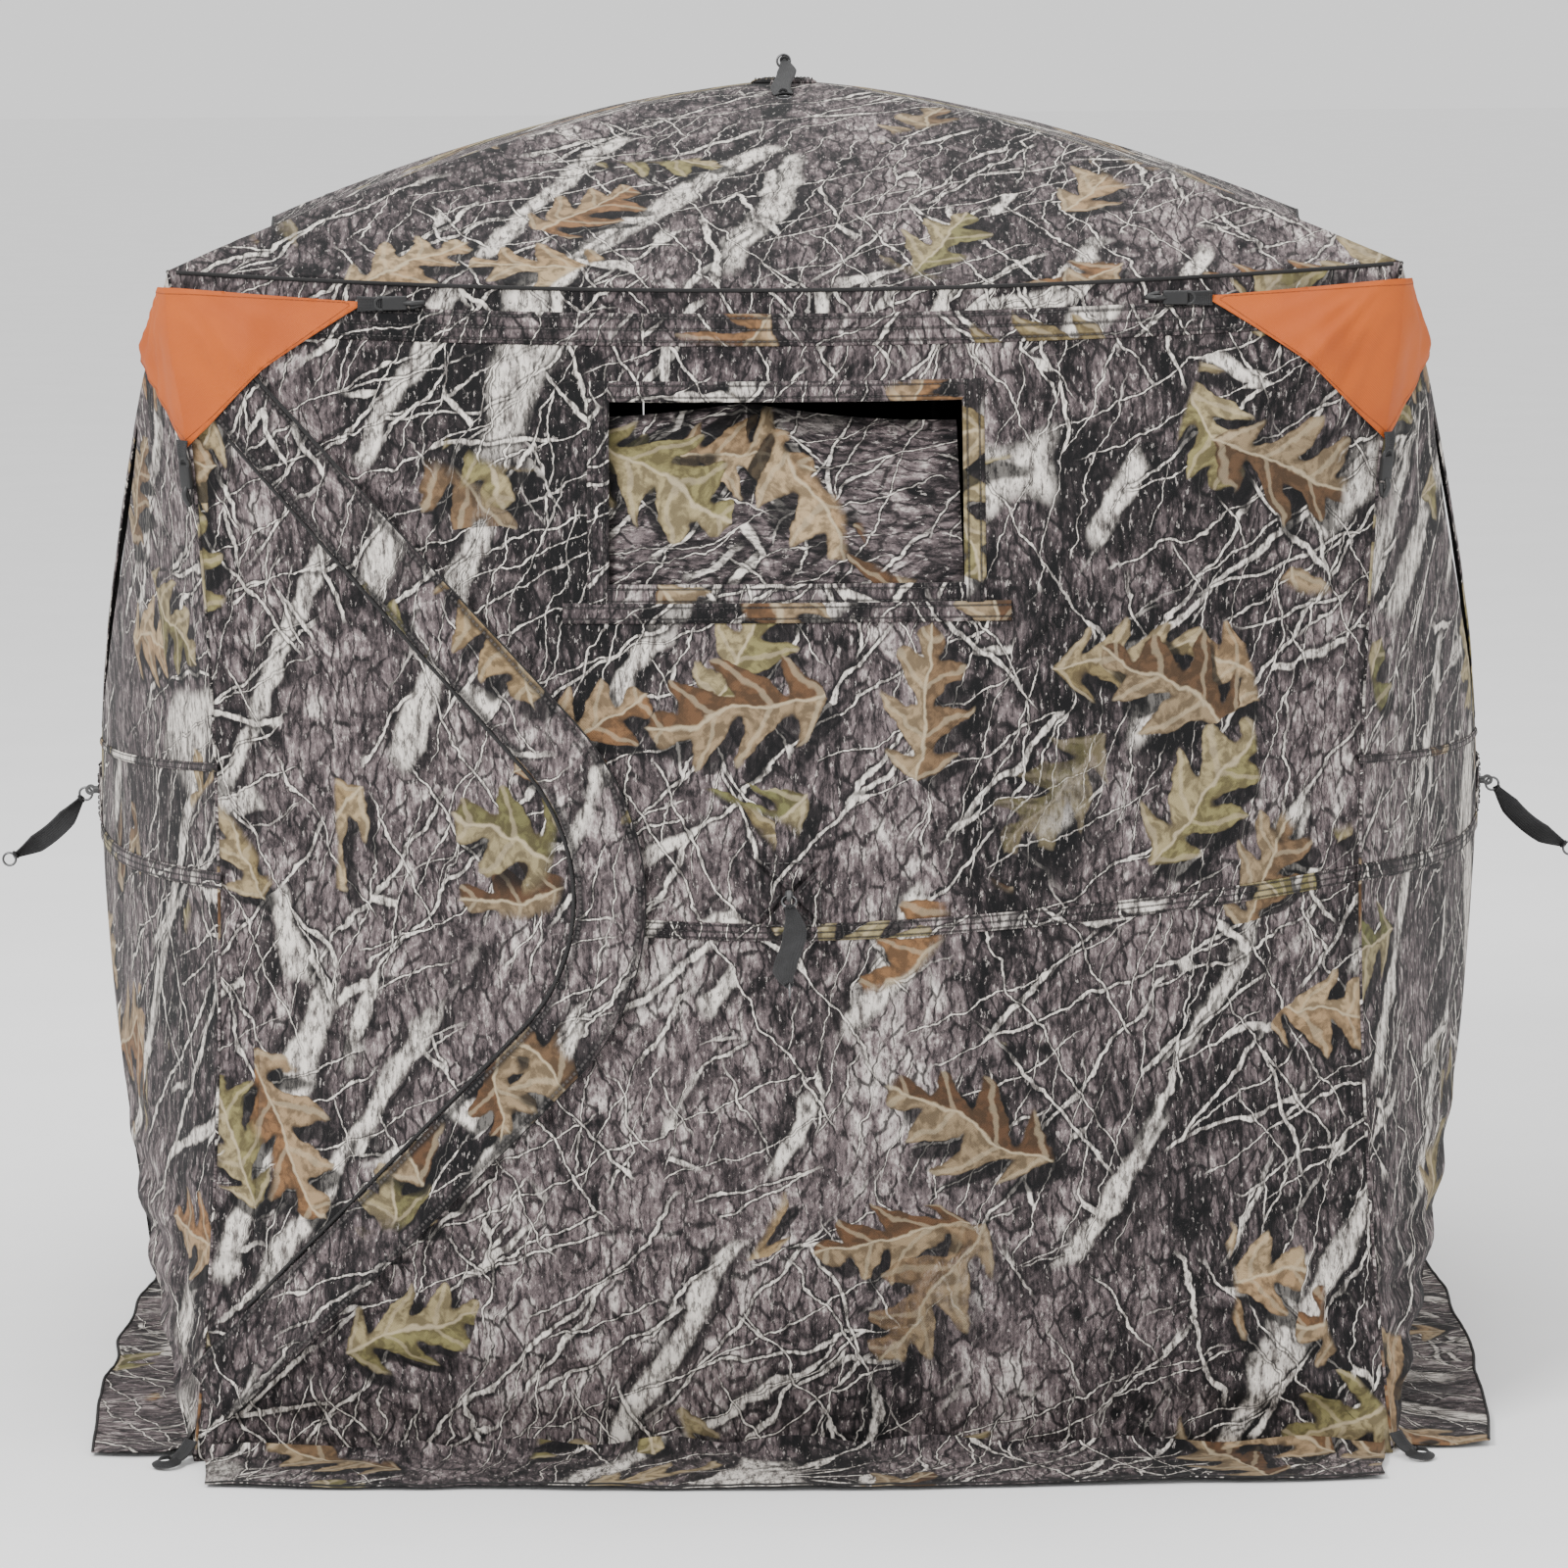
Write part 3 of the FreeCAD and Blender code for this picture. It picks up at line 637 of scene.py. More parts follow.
STEEL = moulded("Dark_steel", (0.075, 0.075, 0.080), (0.22, 0.22, 0.22), 0.38, metallic=1.0)


# ---------------------------------------------------------------- pieces on the panels

def side_of(panel, x, y):
    """Which gore a flat place is on."""
    a, b = x / HALF, y / panel.half_height
    if abs(a) >= abs(b):
        return 0 if a > 0 else 2
    return 1 if b > 0 else 3


def flat_place(panel, across, up):
    """The flat place whose cloth, once stretched, stands at a place measured across and up in front of it."""
    x, y = across, up
    for _ in range(6):
        a, b = x / HALF, y / panel.half_height
        t = max(abs(a), abs(b), 1e-6)
        side = side_of(panel, x, y)
        horizontal = side % 2 == 0
        share = (b if horizontal else a) / t
        pull = panel.pulls[side][0] * (1 - share ** 2) * t ** 3
        x = across + (math.copysign(pull, a) if horizontal else 0)
        y = up + (0 if horizontal else math.copysign(pull, b))
    return x, y


def wall_place(panel, across, height):
    """The flat place on a wall for a place across it and a height above the ground."""
    return flat_place(panel, across, height - HALF_EAVE)


def fasten(piece, panel, side, near=None):
    """Bake a piece on a gore into its mesh; the points where its gore bends are looked up but not used."""
    start, end = near or panel.edge_points(side)
    panel.gore(side)
    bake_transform(piece)


def flat_area(outline):
    """(width and length, area) of an outline on the flat."""
    x, y = np.array(outline).T
    area = 0.5 * abs(np.dot(x, np.roll(y, 1)) - np.dot(y, np.roll(x, 1)))
    return (float(np.ptp(x)), float(np.ptp(y))), float(area)


def declare(outline, holes=(), rests_on=()):
    """Work out a sheet's flat size and its area, less its holes, from the outline it was cut to; nothing
    keeps the result.
    """
    flat, area = flat_area(outline)
    area -= sum(flat_area(hole)[1] for hole in holes)


def leftward(route):
    """The direction to a route's left at each of its places."""
    tangent = np.gradient(route, axis=0)
    tangent /= np.linalg.norm(tangent, axis=1)[:, None]
    return np.stack([-tangent[:, 1], tangent[:, 0]], axis=1)


def offset_route(route, gap):
    """A route moved sideways by a gap, to its left."""
    points = np.array(route)
    return [tuple(p) for p in points + leftward(points) * gap]


def strip_mesh(name, panel, route, width, lift, material, columns=6, inner=None, shift=0.0, free=0.0):
    """A ribbon on a panel's cloth along a route of flat places; its left edge may stand free by a height."""
    route = np.array(route, float)
    normal = leftward(route)
    along = np.concatenate([[0], np.cumsum(np.linalg.norm(np.diff(route, axis=0), axis=1))])
    shares = np.linspace(0, 1, columns + 1)
    flat = (route[:, None, :] + normal[:, None, :] * ((shares - 0.5) * width)[None, :, None]).reshape(-1, 2)
    edge = np.tile(np.minimum(shares, 1 - shares) * width, len(route))
    rise = lift * np.clip(0.45 + edge / 0.004, 0, 1)
    rise = rise + np.outer(np.broadcast_to(free, len(route)), shares ** 3).ravel()
    points = panel.place(flat[:, 0], flat[:, 1], rise)
    faces = facing(points, grid_faces(len(route) - 1, columns), panel.out)
    strip = np.stack([np.repeat(along, columns + 1), np.tile(shares, len(route))], axis=1)
    uv = flat + np.array(PRINT_SHIFT[panel.name]) + shift
    piece = add_mesh(name, points, faces, material, uv, strip)
    thicken(piece, STRIP_CLOTH, inner)
    return piece


def spaced(start, end, step=0.010):
    """A straight route with a point every step."""
    return line(start, end, step) + [end]


def band(name, panel, route, width, lift, material, shift):
    """A ribbon across several gores: one piece on each gore."""
    runs = []
    for point in route:
        side = side_of(panel, *point)
        if not runs or runs[-1][0] != side:
            runs.append((side, runs[-1][1][-1:] if runs else []))
        runs[-1][1].append(point)
    for index, (side, points) in enumerate(runs):
        if len(points) > 2:
            piece = strip_mesh(f"{name}_{index}", panel, points, width, lift, material, shift=shift)
            fasten(piece, panel, side)


def tube(name, path, radius, material, segments=8, loop=False, squeeze=1.0):
    """A round bar along a path, with its own map of metres along it."""
    path = [Vector(p) for p in path]
    count = len(path)
    points, faces, strip = [], [], []
    along = 0.0
    previous = None
    for k, here in enumerate(path):
        before = path[k - 1] if k or loop else here
        after = path[(k + 1) % count] if k < count - 1 or loop else here
        direction = (after - before).normalized()
        if previous is None:
            helper = Z if abs(direction.z) < 0.9 else X
            first = direction.cross(helper).normalized()
        else:
            first = (previous - direction * previous.dot(direction)).normalized()
        previous = first
        second = direction.cross(first)
        for j in range(segments):
            angle = 2 * math.pi * j / segments
            rise = second * (radius * squeeze * math.sin(angle))
            points.append(here + first * (radius * math.cos(angle)) + rise)
            strip.append((along, j / segments))
        along += (after - here).length
    for k in range(count if loop else count - 1):
        for j in range(segments):
            low, high = k * segments, ((k + 1) % count) * segments
            step = (j + 1) % segments
            faces.append((low + j, low + step, high + step, high + j))
    if not loop:
        faces.append(tuple(range(segments))[::-1])
        faces.append(tuple(range((count - 1) * segments, count * segments)))
    uv = np.array(strip) * [1.0, 2 * math.pi * radius] + [0.37, 0.11]
    return add_mesh(name, points, faces, material, uv, strip)


def ring(name, centre, axis, across, radius, wire, material):
    """A round ring about an axis."""
    axis, across = Vector(axis).normalized(), Vector(across).normalized()
    other = axis.cross(across)
    path = [centre + (across * math.cos(a) + other * math.sin(a)) * radius
            for a in (2 * math.pi * k / 40 for k in range(40))]
    return tube(name, path, wire, material, 10, loop=True)


def joined(name, pieces):
    """Several pieces made into one object."""
    bpy.context.view_layer.update()
    with bpy.context.temp_override(active_object=pieces[0], selected_editable_objects=pieces):
        bpy.ops.object.join()
    pieces[0].name = name
    return pieces[0]


# ---------------------------------------------------------------- windows

COVER_OVERLAP = 0.014
SIDE_MARGIN = 0.062
HEM = 0.026

def window_shape(panel):
    """A window's corners on the flat, from its closed cover: low left, low right, top right, top left."""
    low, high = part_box(panel.name + "_window_cover")
    bottom = wall_place(panel, 0, low.z + COVER_OVERLAP)[1]
    top = wall_place(panel, 0, high.z - COVER_OVERLAP)[1]
    if panel.name in ("front", "back"):
        low_reach = top_reach = (high.x - low.x) / 2 - COVER_OVERLAP
    else:
        share = HALF / panel.half_height
        low_reach, top_reach = bottom * share - SIDE_MARGIN, top * share - SIDE_MARGIN
    return [(-low_reach, bottom), (low_reach, bottom), (top_reach, top), (-top_reach, top)]


def grown(shape, sideways, updown):
    """A four-cornered window shape made larger sideways, and up and down."""
    (a, b), (c, d), (e, f), (g, h) = shape
    return [(a - sideways, b - updown), (c + sideways, d - updown), (e + sideways, f + updown),
            (g - sideways, h + updown)]


def window_cover(panel, shape):
    """The cover inside a window: held along its lower edge, it leans inward and sags at the top."""
    front = panel.name in ("front", "back")
    corners = grown(shape, 0.0 if front else -0.018, 0.008)
    if front:
        corners = [corners[0], corners[1], (corners[2][0] - 0.006, corners[2][1] - 0.018),
                   (corners[3][0] - 0.004, corners[3][1] - 0.010)]
    flat, faces = fill(closed(corners))
    low, high = corners[0][1], corners[2][1]
    rise = np.clip((flat[:, 1] - low) / (high - low), 0, 1)
    half = corners[1][0] + (corners[2][0] - corners[1][0]) * rise
    aside = flat[:, 0] / half
    lean = (0.030 if front else 0.004) * rise ** 1.4
    folds = 0.004 * np.sin(flat[:, 0] * 26 + panel.seed) * rise
    folds = folds + 0.004 * fractal(flat[:, 0] * 7, flat[:, 1] * 5, panel.seed)
    inward = (0.011 if front else 0.007) + lean * (1 + 0.35 * aside) + folds + 0.012 * rise * (1 - aside ** 2)
    sag = -0.020 * rise * np.abs(np.sin(flat[:, 0] * 7.3 + panel.seed)) if front else 0
    points = panel.place(flat[:, 0], flat[:, 1] + sag, -inward)
    faces = facing(points, faces, panel.out)
    uv = flat[:, ::-1] + np.array(PRINT_SHIFT[panel.name]) + 3.3
    cover = add_mesh(panel.name + "_cover_cloth", points, faces, CAMO, uv)
    thicken(cover, CLOTH, LINING)
    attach(cover, panel.name + "_window_cover")
    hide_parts(panel.name + "_window_cover")
    declare(corners, rests_on=[panel.gore(1)])


def window_hems(panel, shape):
    """Stitched hems round a window, the two uprights over the level ones, and a sill where it is wide."""
    corners = grown(shape, HEM / 2, HEM / 2)
    for index, (start, end) in enumerate(zip(corners, corners[1:] + corners[:1])):
        start, end = np.array(start), np.array(end)
        reach = (end - start) / np.linalg.norm(end - start) * HEM / 2
        lift = 0.0034 if index % 2 else 0.0026
        route = spaced(tuple(start - reach), tuple(end + reach))
        label = f"{panel.name}_window_hem_{index}"
        hem = strip_mesh(label, panel, route, HEM, lift, CAMO_HEM, shift=0.8 + index)
        fasten(hem, panel, 1)
    if panel.name in ("front", "back"):
        (left, low), (right, _) = shape[:2]
        level = low - HEM - 0.008
        route = spaced((left - 0.055, level), (right + 0.055, level))
        sill = strip_mesh(panel.name + "_window_sill", panel, route, 0.024, 0.0050, CAMO_HEM, shift=2.7)
        fasten(sill, panel, 1)


# ---------------------------------------------------------------- the door in the front wall

DOOR_STRIP = 0.062
FLAP_WIDTH = 0.083
DOOR_NOSE_HEIGHT = 0.718
DOOR_NOSE_RADIUS = 0.240
DOOR_TOP = 1.343
DOOR_BOTTOM = 0.110
DOOR_HEAD_LIMIT = 1.29


def door_seam():
    """The zipped edge of the door, from its top corner round the nose to its bottom corner, across and up."""
    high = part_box("door_leaf")[1]
    panel = PANELS["front"]
    radius = DOOR_NOSE_RADIUS
    centre = Vector((high.x - radius, 0, DOOR_NOSE_HEIGHT))
    seam = []
    # Straight runs beside the two rods, joined by the round nose.
    for hinge_height, first in ((DOOR_TOP, True), (DOOR_BOTTOM, False)):
        hinge = Vector((-HALF, 0, hinge_height))
        away = centre - hinge
        swing = math.asin(radius / away.length)
        heading = math.atan2(away.z, away.x) + (swing if first else -swing)
        run = away.length * math.cos(swing)
        touch = Vector((hinge.x + run * math.cos(heading), 0, hinge.z + run * math.sin(heading)))
        seam.append((hinge, touch))
    (top, first_touch), (bottom, last_touch) = seam
    route = spaced((top.x, top.z), (first_touch.x, first_touch.z))[:-1]
    begin = math.atan2(first_touch.z - centre.z, first_touch.x - centre.x)
    finish = math.atan2(last_touch.z - centre.z, last_touch.x - centre.x)
    steps = int(abs(begin - finish) * radius / 0.010)
    route += [(centre.x + radius * math.cos(begin + (finish - begin) * k / steps),
               centre.z + radius * math.sin(begin + (finish - begin) * k / steps)) for k in range(steps)]
    route += spaced((last_touch.x, last_touch.z), (bottom.x, bottom.z))
    return [wall_place(panel, x, z) for x, z in route if z < DOOR_HEAD_LIMIT]


def door():
    """The door: the fixed cloth round it, the leaf, and the storm flap sewn along the leaf's zipped edge,
    with a dark tube under the flap's free edge as a painted shadow.
    """
    panel = PANELS["front"]
    seam = door_seam()
    hinge = -HALF + DOOR_STRIP
    edge = [point for point in seam if point[0] > hinge]
    leaf_outline = [(hinge, edge[0][1])] + edge + [(hinge, edge[-1][1])]
    leaf_outline += line((hinge, edge[-1][1]), (hinge, edge[0][1]), GRID)[1:]
    corners = panel.corners(2)
    side_bend = (panel.centre - X * HALF, panel.centre - X * (HALF - DOOR_STRIP))
    fixed = cloth("front_cloth_left", panel, closed(corners), CAMO, [leaf_outline], inner=LINING)
    fasten(fixed, panel, 2, side_bend)
    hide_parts("front_gore_left")
    declare(corners, [leaf_outline], rests_on=["front_rod_top_left", "front_rod_bottom_left"])

    leaf = cloth("door_cloth", panel, leaf_outline, CAMO, inner=LINING, lift=0.0006)
    ends = np.arange(len(seam))
    free = 0.013 * np.clip(np.minimum(ends - 8, ends[::-1]) / 12, 0, 1)
    middle = offset_route(seam, 0.5 * FLAP_WIDTH - 0.006)
    flap = strip_mesh("door_flap", panel, middle, FLAP_WIDTH, 0.0056, CAMO_FLAP, columns=14, inner=LINING,
                      shift=4.3, free=free)
    crumple(flap, panel)
    welt = strip_mesh("door_welt", panel, offset_route(edge, -0.0095), 0.0050, 0.0042, PIPING_AND_PAINTED_SHADOW, columns=4)
    # Painted shadow: a dark tube tucked under the flap's free edge.
    rim = np.array(offset_route(seam, FLAP_WIDTH - 0.0065))
    rim = panel.place(rim[:, 0], rim[:, 1], 0.0050 + 0.55 * free)
    edge_tube = tube("door_flap_painted_shadow", rim, 0.0023, PIPING_AND_PAINTED_SHADOW)
    for piece in (leaf, flap, welt, edge_tube):
        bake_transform(piece)
    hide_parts("door_leaf")
    declare(leaf_outline, rests_on=["front_cloth_left"])


def crumple(piece, panel):
    """Work small gathers into a flap, more of them towards its lower end."""
    mesh = piece.data
    points = np.zeros(len(mesh.vertices) * 3)
    mesh.vertices.foreach_get("co", points)
    points = points.reshape(-1, 3)
    x, z = points[:, 0], points[:, 2]
    low = np.clip((0.66 - z) / 0.4, 0, 1)
    folds = fractal(x * 13 + z * 10, z * 30 - x * 17, 3.0, 2) * (0.0040 + 0.0105 * low)
    folds = np.abs(folds) * np.clip((1.24 - z) / 0.08, 0, 1)
    points += np.outer(folds + 0.002 * low, np.array(panel.out))
    mesh.vertices.foreach_set("co", points.ravel())
    mesh.update()


# ---------------------------------------------------------------- cloth, seams and bands

EAVE_BAND = 0.042
EAVE_BAND_DROP = 0.053
SLIT_DROP = 0.015
SLIT_MARGIN = 0.012
SLIT_WIDTH = 0.040
WAIST = 0.682
WAIST_RISE = 0.036
UPPER_SEAM = 0.120
FRONT_BAND_START = -0.172


def side_slit(panel, end):
    """The gap beside a slanting rod, where a side window's cover hangs clear of that edge."""
    share = HALF / panel.half_height
    low, high = WINDOW[panel.name][0][1] - SLIT_DROP, WINDOW[panel.name][2][1]
    s = np.linspace(0, 1, 30)
    up = low + (high - low) * s
    near = up * share + SLIT_MARGIN
    far = near + SLIT_WIDTH * np.sin(np.pi * s) ** 0.7
    outline = list(zip(near, up)) + list(zip(far[-2:0:-1], up[-2:0:-1]))
    return [(end * x, y) for x, y in outline]


def gore_cloths():
    """The four triangles of cloth of each panel, dense enough for their folds."""
    for panel in PANELS.values():
        for side in range(4):
            if panel.gore(side) == "front_gore_left":
                continue
            corners = panel.corners(side)
            holes = [closed(WINDOW[panel.name])] if WINDOW.get(panel.name) and side == 1 else []
            if panel.name in ("left", "right") and side in (0, 2):
                holes = [closed(side_slit(panel, 1 - side))]
            name = panel.name + "_cloth_" + panel.sides[side]
            piece = cloth(name, panel, closed(corners), CAMO, holes, inner=LINING)
            fasten(piece, panel, side)
            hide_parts(panel.gore(side))
            rods = [node for node in frame["nodes"]
                    if node.startswith(panel.name + "_rod") and panel.sides[side] in node]
            declare(corners, holes, rests_on=sorted(rods))


def eave_seams():
    """Dark piping along each eave, and a stitched band of cloth below it."""
    for name in WALLS:
        panel = PANELS[name]
        route = np.array(spaced((-HALF + 0.010, panel.half_height), (HALF - 0.010, panel.half_height)))
        path = panel.place(route[:, 0], route[:, 1] - 0.0015, 0.0012)
        piping = tube(name + "_eave_piping", path, 0.0024, PIPING_AND_PAINTED_SHADOW)
        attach(piping, "root")
        level = panel.half_height - EAVE_BAND_DROP
        reach = level * HALF / panel.half_height - 0.004
        route = spaced((-reach, level), (reach, level))
        strip = strip_mesh(name + "_eave_band", panel, route, EAVE_BAND, 0.0034, CAMO_BAND, shift=1.7)
        fasten(strip, panel, 1)


def corner_seams():
    """The bound seams where two walls meet."""
    for name in WALLS:
        panel = PANELS[name]
        heights = np.arange(-panel.half_height + 0.004, panel.half_height, 0.010)
        path = panel.place(np.full_like(heights, HALF), heights, -0.0004)
        seam = tube(name + "_corner_binding", path, 0.0021, CAMO)
        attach(seam, "root")


def waist_bands():
    """A stitched band round the waist of each wall, which rises towards the corners."""
    for name in WALLS:
        panel = PANELS[name]
        left = FRONT_BAND_START if name == "front" else -HALF + 0.03
        across = np.arange(left, HALF - 0.028, 0.010)
        heights = WAIST + WAIST_RISE * (np.abs(across) / HALF) ** 1.8
        route = [wall_place(panel, x, z) for x, z in zip(across, heights)]
        band(name + "_waist_band", panel, route, 0.021, 0.0032, CAMO_BAND, shift=5.1)
        if name in ("left", "right"):
            upper = [wall_place(panel, x, z + UPPER_SEAM + 0.02 * abs(x / HALF))
                     for x, z in zip(across, heights)]
            band(name + "_upper_seam", panel, upper, 0.011, 0.0028, CAMO_HEM, shift=6.4)


# ---------------------------------------------------------------- hub patches

PATCH = 0.043
PATCH_GAP = 0.0035


def stitch_line(panel, start, end, lift, gauge=0.0072, size=0.0011):
    """Raised stitches of thread between two flat places."""
    start, end = np.array(start, float), np.array(end, float)
    length = np.linalg.norm(end - start)
    direction = (end - start) / length
    pieces = []
    for k in range(int(length / gauge)):
        share = np.linspace(0.15, 0.85, 4)
        flat = start + direction * (k + share)[:, None] * gauge
        arch = lift + size * np.sin(np.pi * np.linspace(0.1, 0.9, 4))
        pieces.append(tube("stitch", panel.place(flat[:, 0], flat[:, 1], arch), size * 0.8, THREAD, 6))
    return pieces


def patch_lift(flat):
    """A patch lies over its hub's cap and comes down to the cloth at its edges."""
    return 0.0042 - 0.0026 * np.clip((np.max(np.abs(flat), axis=1) / PATCH - 0.86) / 0.14, 0, 1)


def hub_patches():
    """A square patch sewn over each hub, in a quarter for each gore so that it folds as they do."""
    inset = PATCH - 0.006
    corner_pairs = (((1, -1), (1, 1)), ((1, 1), (-1, 1)), ((-1, 1), (-1, -1)), ((-1, -1), (1, -1)))
    for name, panel in PANELS.items():
        for side, (begin, end) in enumerate(np.array(corner_pairs, float)):
            outward, along = (begin + end) / 2, (end - begin) / 2
            corners = [tuple(outward * PATCH_GAP), tuple(begin * PATCH + along * PATCH_GAP),
                       tuple(end * PATCH - along * PATCH_GAP)]
            label = name + "_hub_patch_" + panel.sides[side]
            patch = cloth(label, panel, closed(corners, 0.006), CAMO, lift=patch_lift, thickness=0.0014,
                          step=0.006)
            first, second = begin * inset + along * 2 * PATCH_GAP, end * inset - along * 2 * PATCH_GAP
            stitches = stitch_line(panel, first, second, 0.0044)
            stitches += stitch_line(panel, outward * 3 * PATCH_GAP, second, 0.0044)
            thread = joined(label + "_stitches", stitches)
            for piece in (patch, thread):
                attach(piece, panel.gore(side))
            declare(corners, rests_on=[name + "_hub"])


# ---------------------------------------------------------------- pull straps

STRAP_WIDTH = 0.025
WIDE_STRAP = 0.029
RING_RADIUS = 0.0085
RING_WIRE = 0.0016
STRAP_LENGTH = 0.138
# How far each strap is turned at its ends, and how much further at its middle.
TURN = {"front": (0.1, 0.2), "back": (-0.2, 0.3), "left": (0.75, 0.95), "right": (1.9, -0.5),
        "roof": (0.0, 0.12)}


def webbing_strip(name, centres, normals, widths, thickness=0.0019, columns=8):
    """A webbing strap through centres, facing along normals, with a width at each."""
    centres = [Vector(c) for c in centres]
    points, strip = [], []
    along = 0.0
    count = len(centres)
    for k, centre in enumerate(centres):
        tangent = (centres[min(k + 1, count - 1)] - centres[max(k - 1, 0)]).normalized()
        normal = (Vector(normals[k]) - tangent * tangent.dot(Vector(normals[k]))).normalized()
        sideways = tangent.cross(normal)
        if k:
            along += (centre - centres[k - 1]).length
        for j in range(columns + 1):
            share = j / columns
            cup = 0.10 * widths[k] * (4 * (share - 0.5) ** 2)
            points.append(centre + sideways * ((share - 0.5) * widths[k]) + normal * cup)
            strip.append((along, share))
    uv = np.array(strip) * [1, STRAP_WIDTH] + 0.5
    piece = add_mesh(name, points, grid_faces(count - 1, columns), WEBBING, uv, strip)
    return thicken(piece, thickness, offset=0)


def pull_straps():
    """Each hub's webbing strap, gathered on to a ring at both ends."""
    for name, panel in PANELS.items():
        upright = name == "roof"
        eye = Vector(JOINTS[name + "_pull_strap_swing"]["pos_m"])
        low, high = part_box(name + "_pull_strap")
        if upright:
            away = Vector((0, low.y - eye.y, low.z - eye.z)).normalized()
        else:
            depth = max((high - eye).dot(panel.out), (low - eye).dot(panel.out))
            away = (panel.out * depth + Z * (low.z - eye.z)).normalized()
        across = panel.across
        face = across.cross(away).normalized()
        width = WIDE_STRAP if name in ("front", "back") else STRAP_WIDTH
        ring_axis = across if name in ("left", "right") else -Y if upright else face
        reach = Z if upright else away
        pieces = [ring(name + "_strap_ring_near", eye + reach * RING_RADIUS, ring_axis, reach, RING_RADIUS,
                       RING_WIRE, STEEL)]
        start, stop = 2 * RING_RADIUS - 0.003, STRAP_LENGTH
        centres, normals, widths = [], [], []
        for s in np.linspace(0, 1, 34):
            wave = math.sin(2 * math.pi * s)
            if upright:
                bow = Z * (0.011 * (1 - s) ** 2 + 0.004) + across * (0.004 * wave)
            else:
                bow = face * (0.010 * math.sin(math.pi * s)) + across * (0.006 * wave)
            centres.append(eye + away * (start + (stop - start) * s) + bow)
            turn = TURN[name][0] + TURN[name][1] * math.sin(math.pi * s)
            normals.append(face * math.cos(turn) + across * math.sin(turn))
            widths.append(width * min(1.0, 0.30 + 2.6 * (s if upright else min(s, 1 - s))))
        strap = webbing_strip(name + "_strap_webbing", centres, normals, widths)
        pieces.append(strap)
        for index, place in enumerate((0.03, 0.97)):
            centre = centres[round(place * 33)]
            pieces.append(ring(f"{name}_strap_wrap_{index}", centre, away, across, 0.0042, 0.0019, WEBBING))
        pieces.append(ring(name + "_strap_ring_far", eye + away * (stop + RING_RADIUS - 0.002),
                           face if upright else across, away, RING_RADIUS, RING_WIRE, STEEL))
        for piece in pieces:
            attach(piece, name + ("_hub" if upright and piece is pieces[0] else "_pull_strap"))
        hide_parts(name + "_pull_strap")


# ---------------------------------------------------------------- corner flags and their hooks

FLAG_ALONG = 0.236
FLAG_DOWN = 0.214
FLAG_TOP = 0.020
FLAG_STEP = 0.006
HEM_OF_FLAG = 0.009


def flag_half(panel, end):
    """A flag's part on one wall, from its corner seam: (points, faces, flat places, hem map, outline)."""
    seam = end * HALF
    inner = end * (HALF - FLAG_ALONG)
    top, low = panel.half_height - FLAG_TOP, panel.half_height - FLAG_DOWN
    outline = line((seam, top), (inner, top - 0.006), FLAG_STEP)
    count = 24
    for k in range(count):
        s = k / count
        dip = 0.004 * math.sin(math.pi * s)
        outline.append((inner + (seam - inner) * s + end * dip, top - 0.006 + (low - top + 0.006) * s + dip))
    outline += line((seam, low), (seam, top), FLAG_STEP)
    flat, faces = fill(outline, step=FLAG_STEP)
    away = np.abs(seam - flat[:, 0])
    down = panel.half_height - flat[:, 1]
    # How far each place is from the sloping edge and from the top edge.
    slope_x, slope_y = -FLAG_ALONG, FLAG_DOWN - FLAG_TOP - 0.006
    slope = slope_x * (down - FLAG_TOP - 0.006) - slope_y * (away - FLAG_ALONG)
    margin = np.minimum(slope / math.hypot(slope_x, slope_y), down - FLAG_TOP)
    turn = np.clip(1 - away / 0.045, 0, 1) ** 2
    puff = 0.006 + 0.007 * np.exp(-((down - 0.09) / 0.06) ** 2) * np.exp(-(away / 0.08) ** 2)
    upright_crease = 0.0050 * np.clip(1 - np.abs(away - 0.105 + 0.1 * down) / 0.030, 0, 1)
    slanting_crease = 0.0045 * np.clip(1 - np.abs(0.62 * away - 0.78 * down + 0.035) / 0.028, 0, 1)
    soft = 0.0030 * fractal(flat[:, 0] * 13, flat[:, 1] * 11, panel.seed)
    folds = (upright_crease + slanting_crease + soft) * np.clip(margin / 0.03, 0, 1)
    folds = folds * np.clip(away / 0.02, 0, 1)
    hem = 0.0013 * np.clip((HEM_OF_FLAG - margin) / 0.003, 0, 1)
    lift = puff + folds + hem
    points = panel.place(flat[:, 0], flat[:, 1])
    out, across = np.array(panel.out), np.array(panel.across)
    direction = out[None, :] + across[None, :] * (end * turn)[:, None]
    direction /= np.linalg.norm(direction, axis=1)[:, None]
    strip = np.stack([away + down, np.clip(margin / HEM_OF_FLAG, 0, 4)], axis=1)
    return points + direction * lift[:, None], facing(points, faces, panel.out), flat, strip, outline


def corner_flag(name, right_wall, left_wall):
    """An orange flag folded round a corner, from two walls' halves that share the corner's edge."""
    points, faces, flats, strips, area = [], [], [], [], 0.0
    for panel, end in ((right_wall, -1), (left_wall, 1)):
        half_points, half_faces, flat, strip, outline = flag_half(panel, end)
        strips += list(strip)
        faces += [tuple(v + len(points) for v in face) for face in half_faces]
        points += list(half_points)
        flats += list(flat + np.array([2.0 if end > 0 else 0.0, 0.0]))
        area += flat_area(outline)[1]
    piece = add_mesh(name, points, faces, ORANGE, np.array(flats), np.array(strips))
    mesh = bmesh.new()
    mesh.from_mesh(piece.data)
    bmesh.ops.remove_doubles(mesh, verts=mesh.verts, dist=0.0008)
    mesh.to_mesh(piece.data)
    mesh.free()
    thicken(piece, 0.0011)
    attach(piece, "root")
    return piece


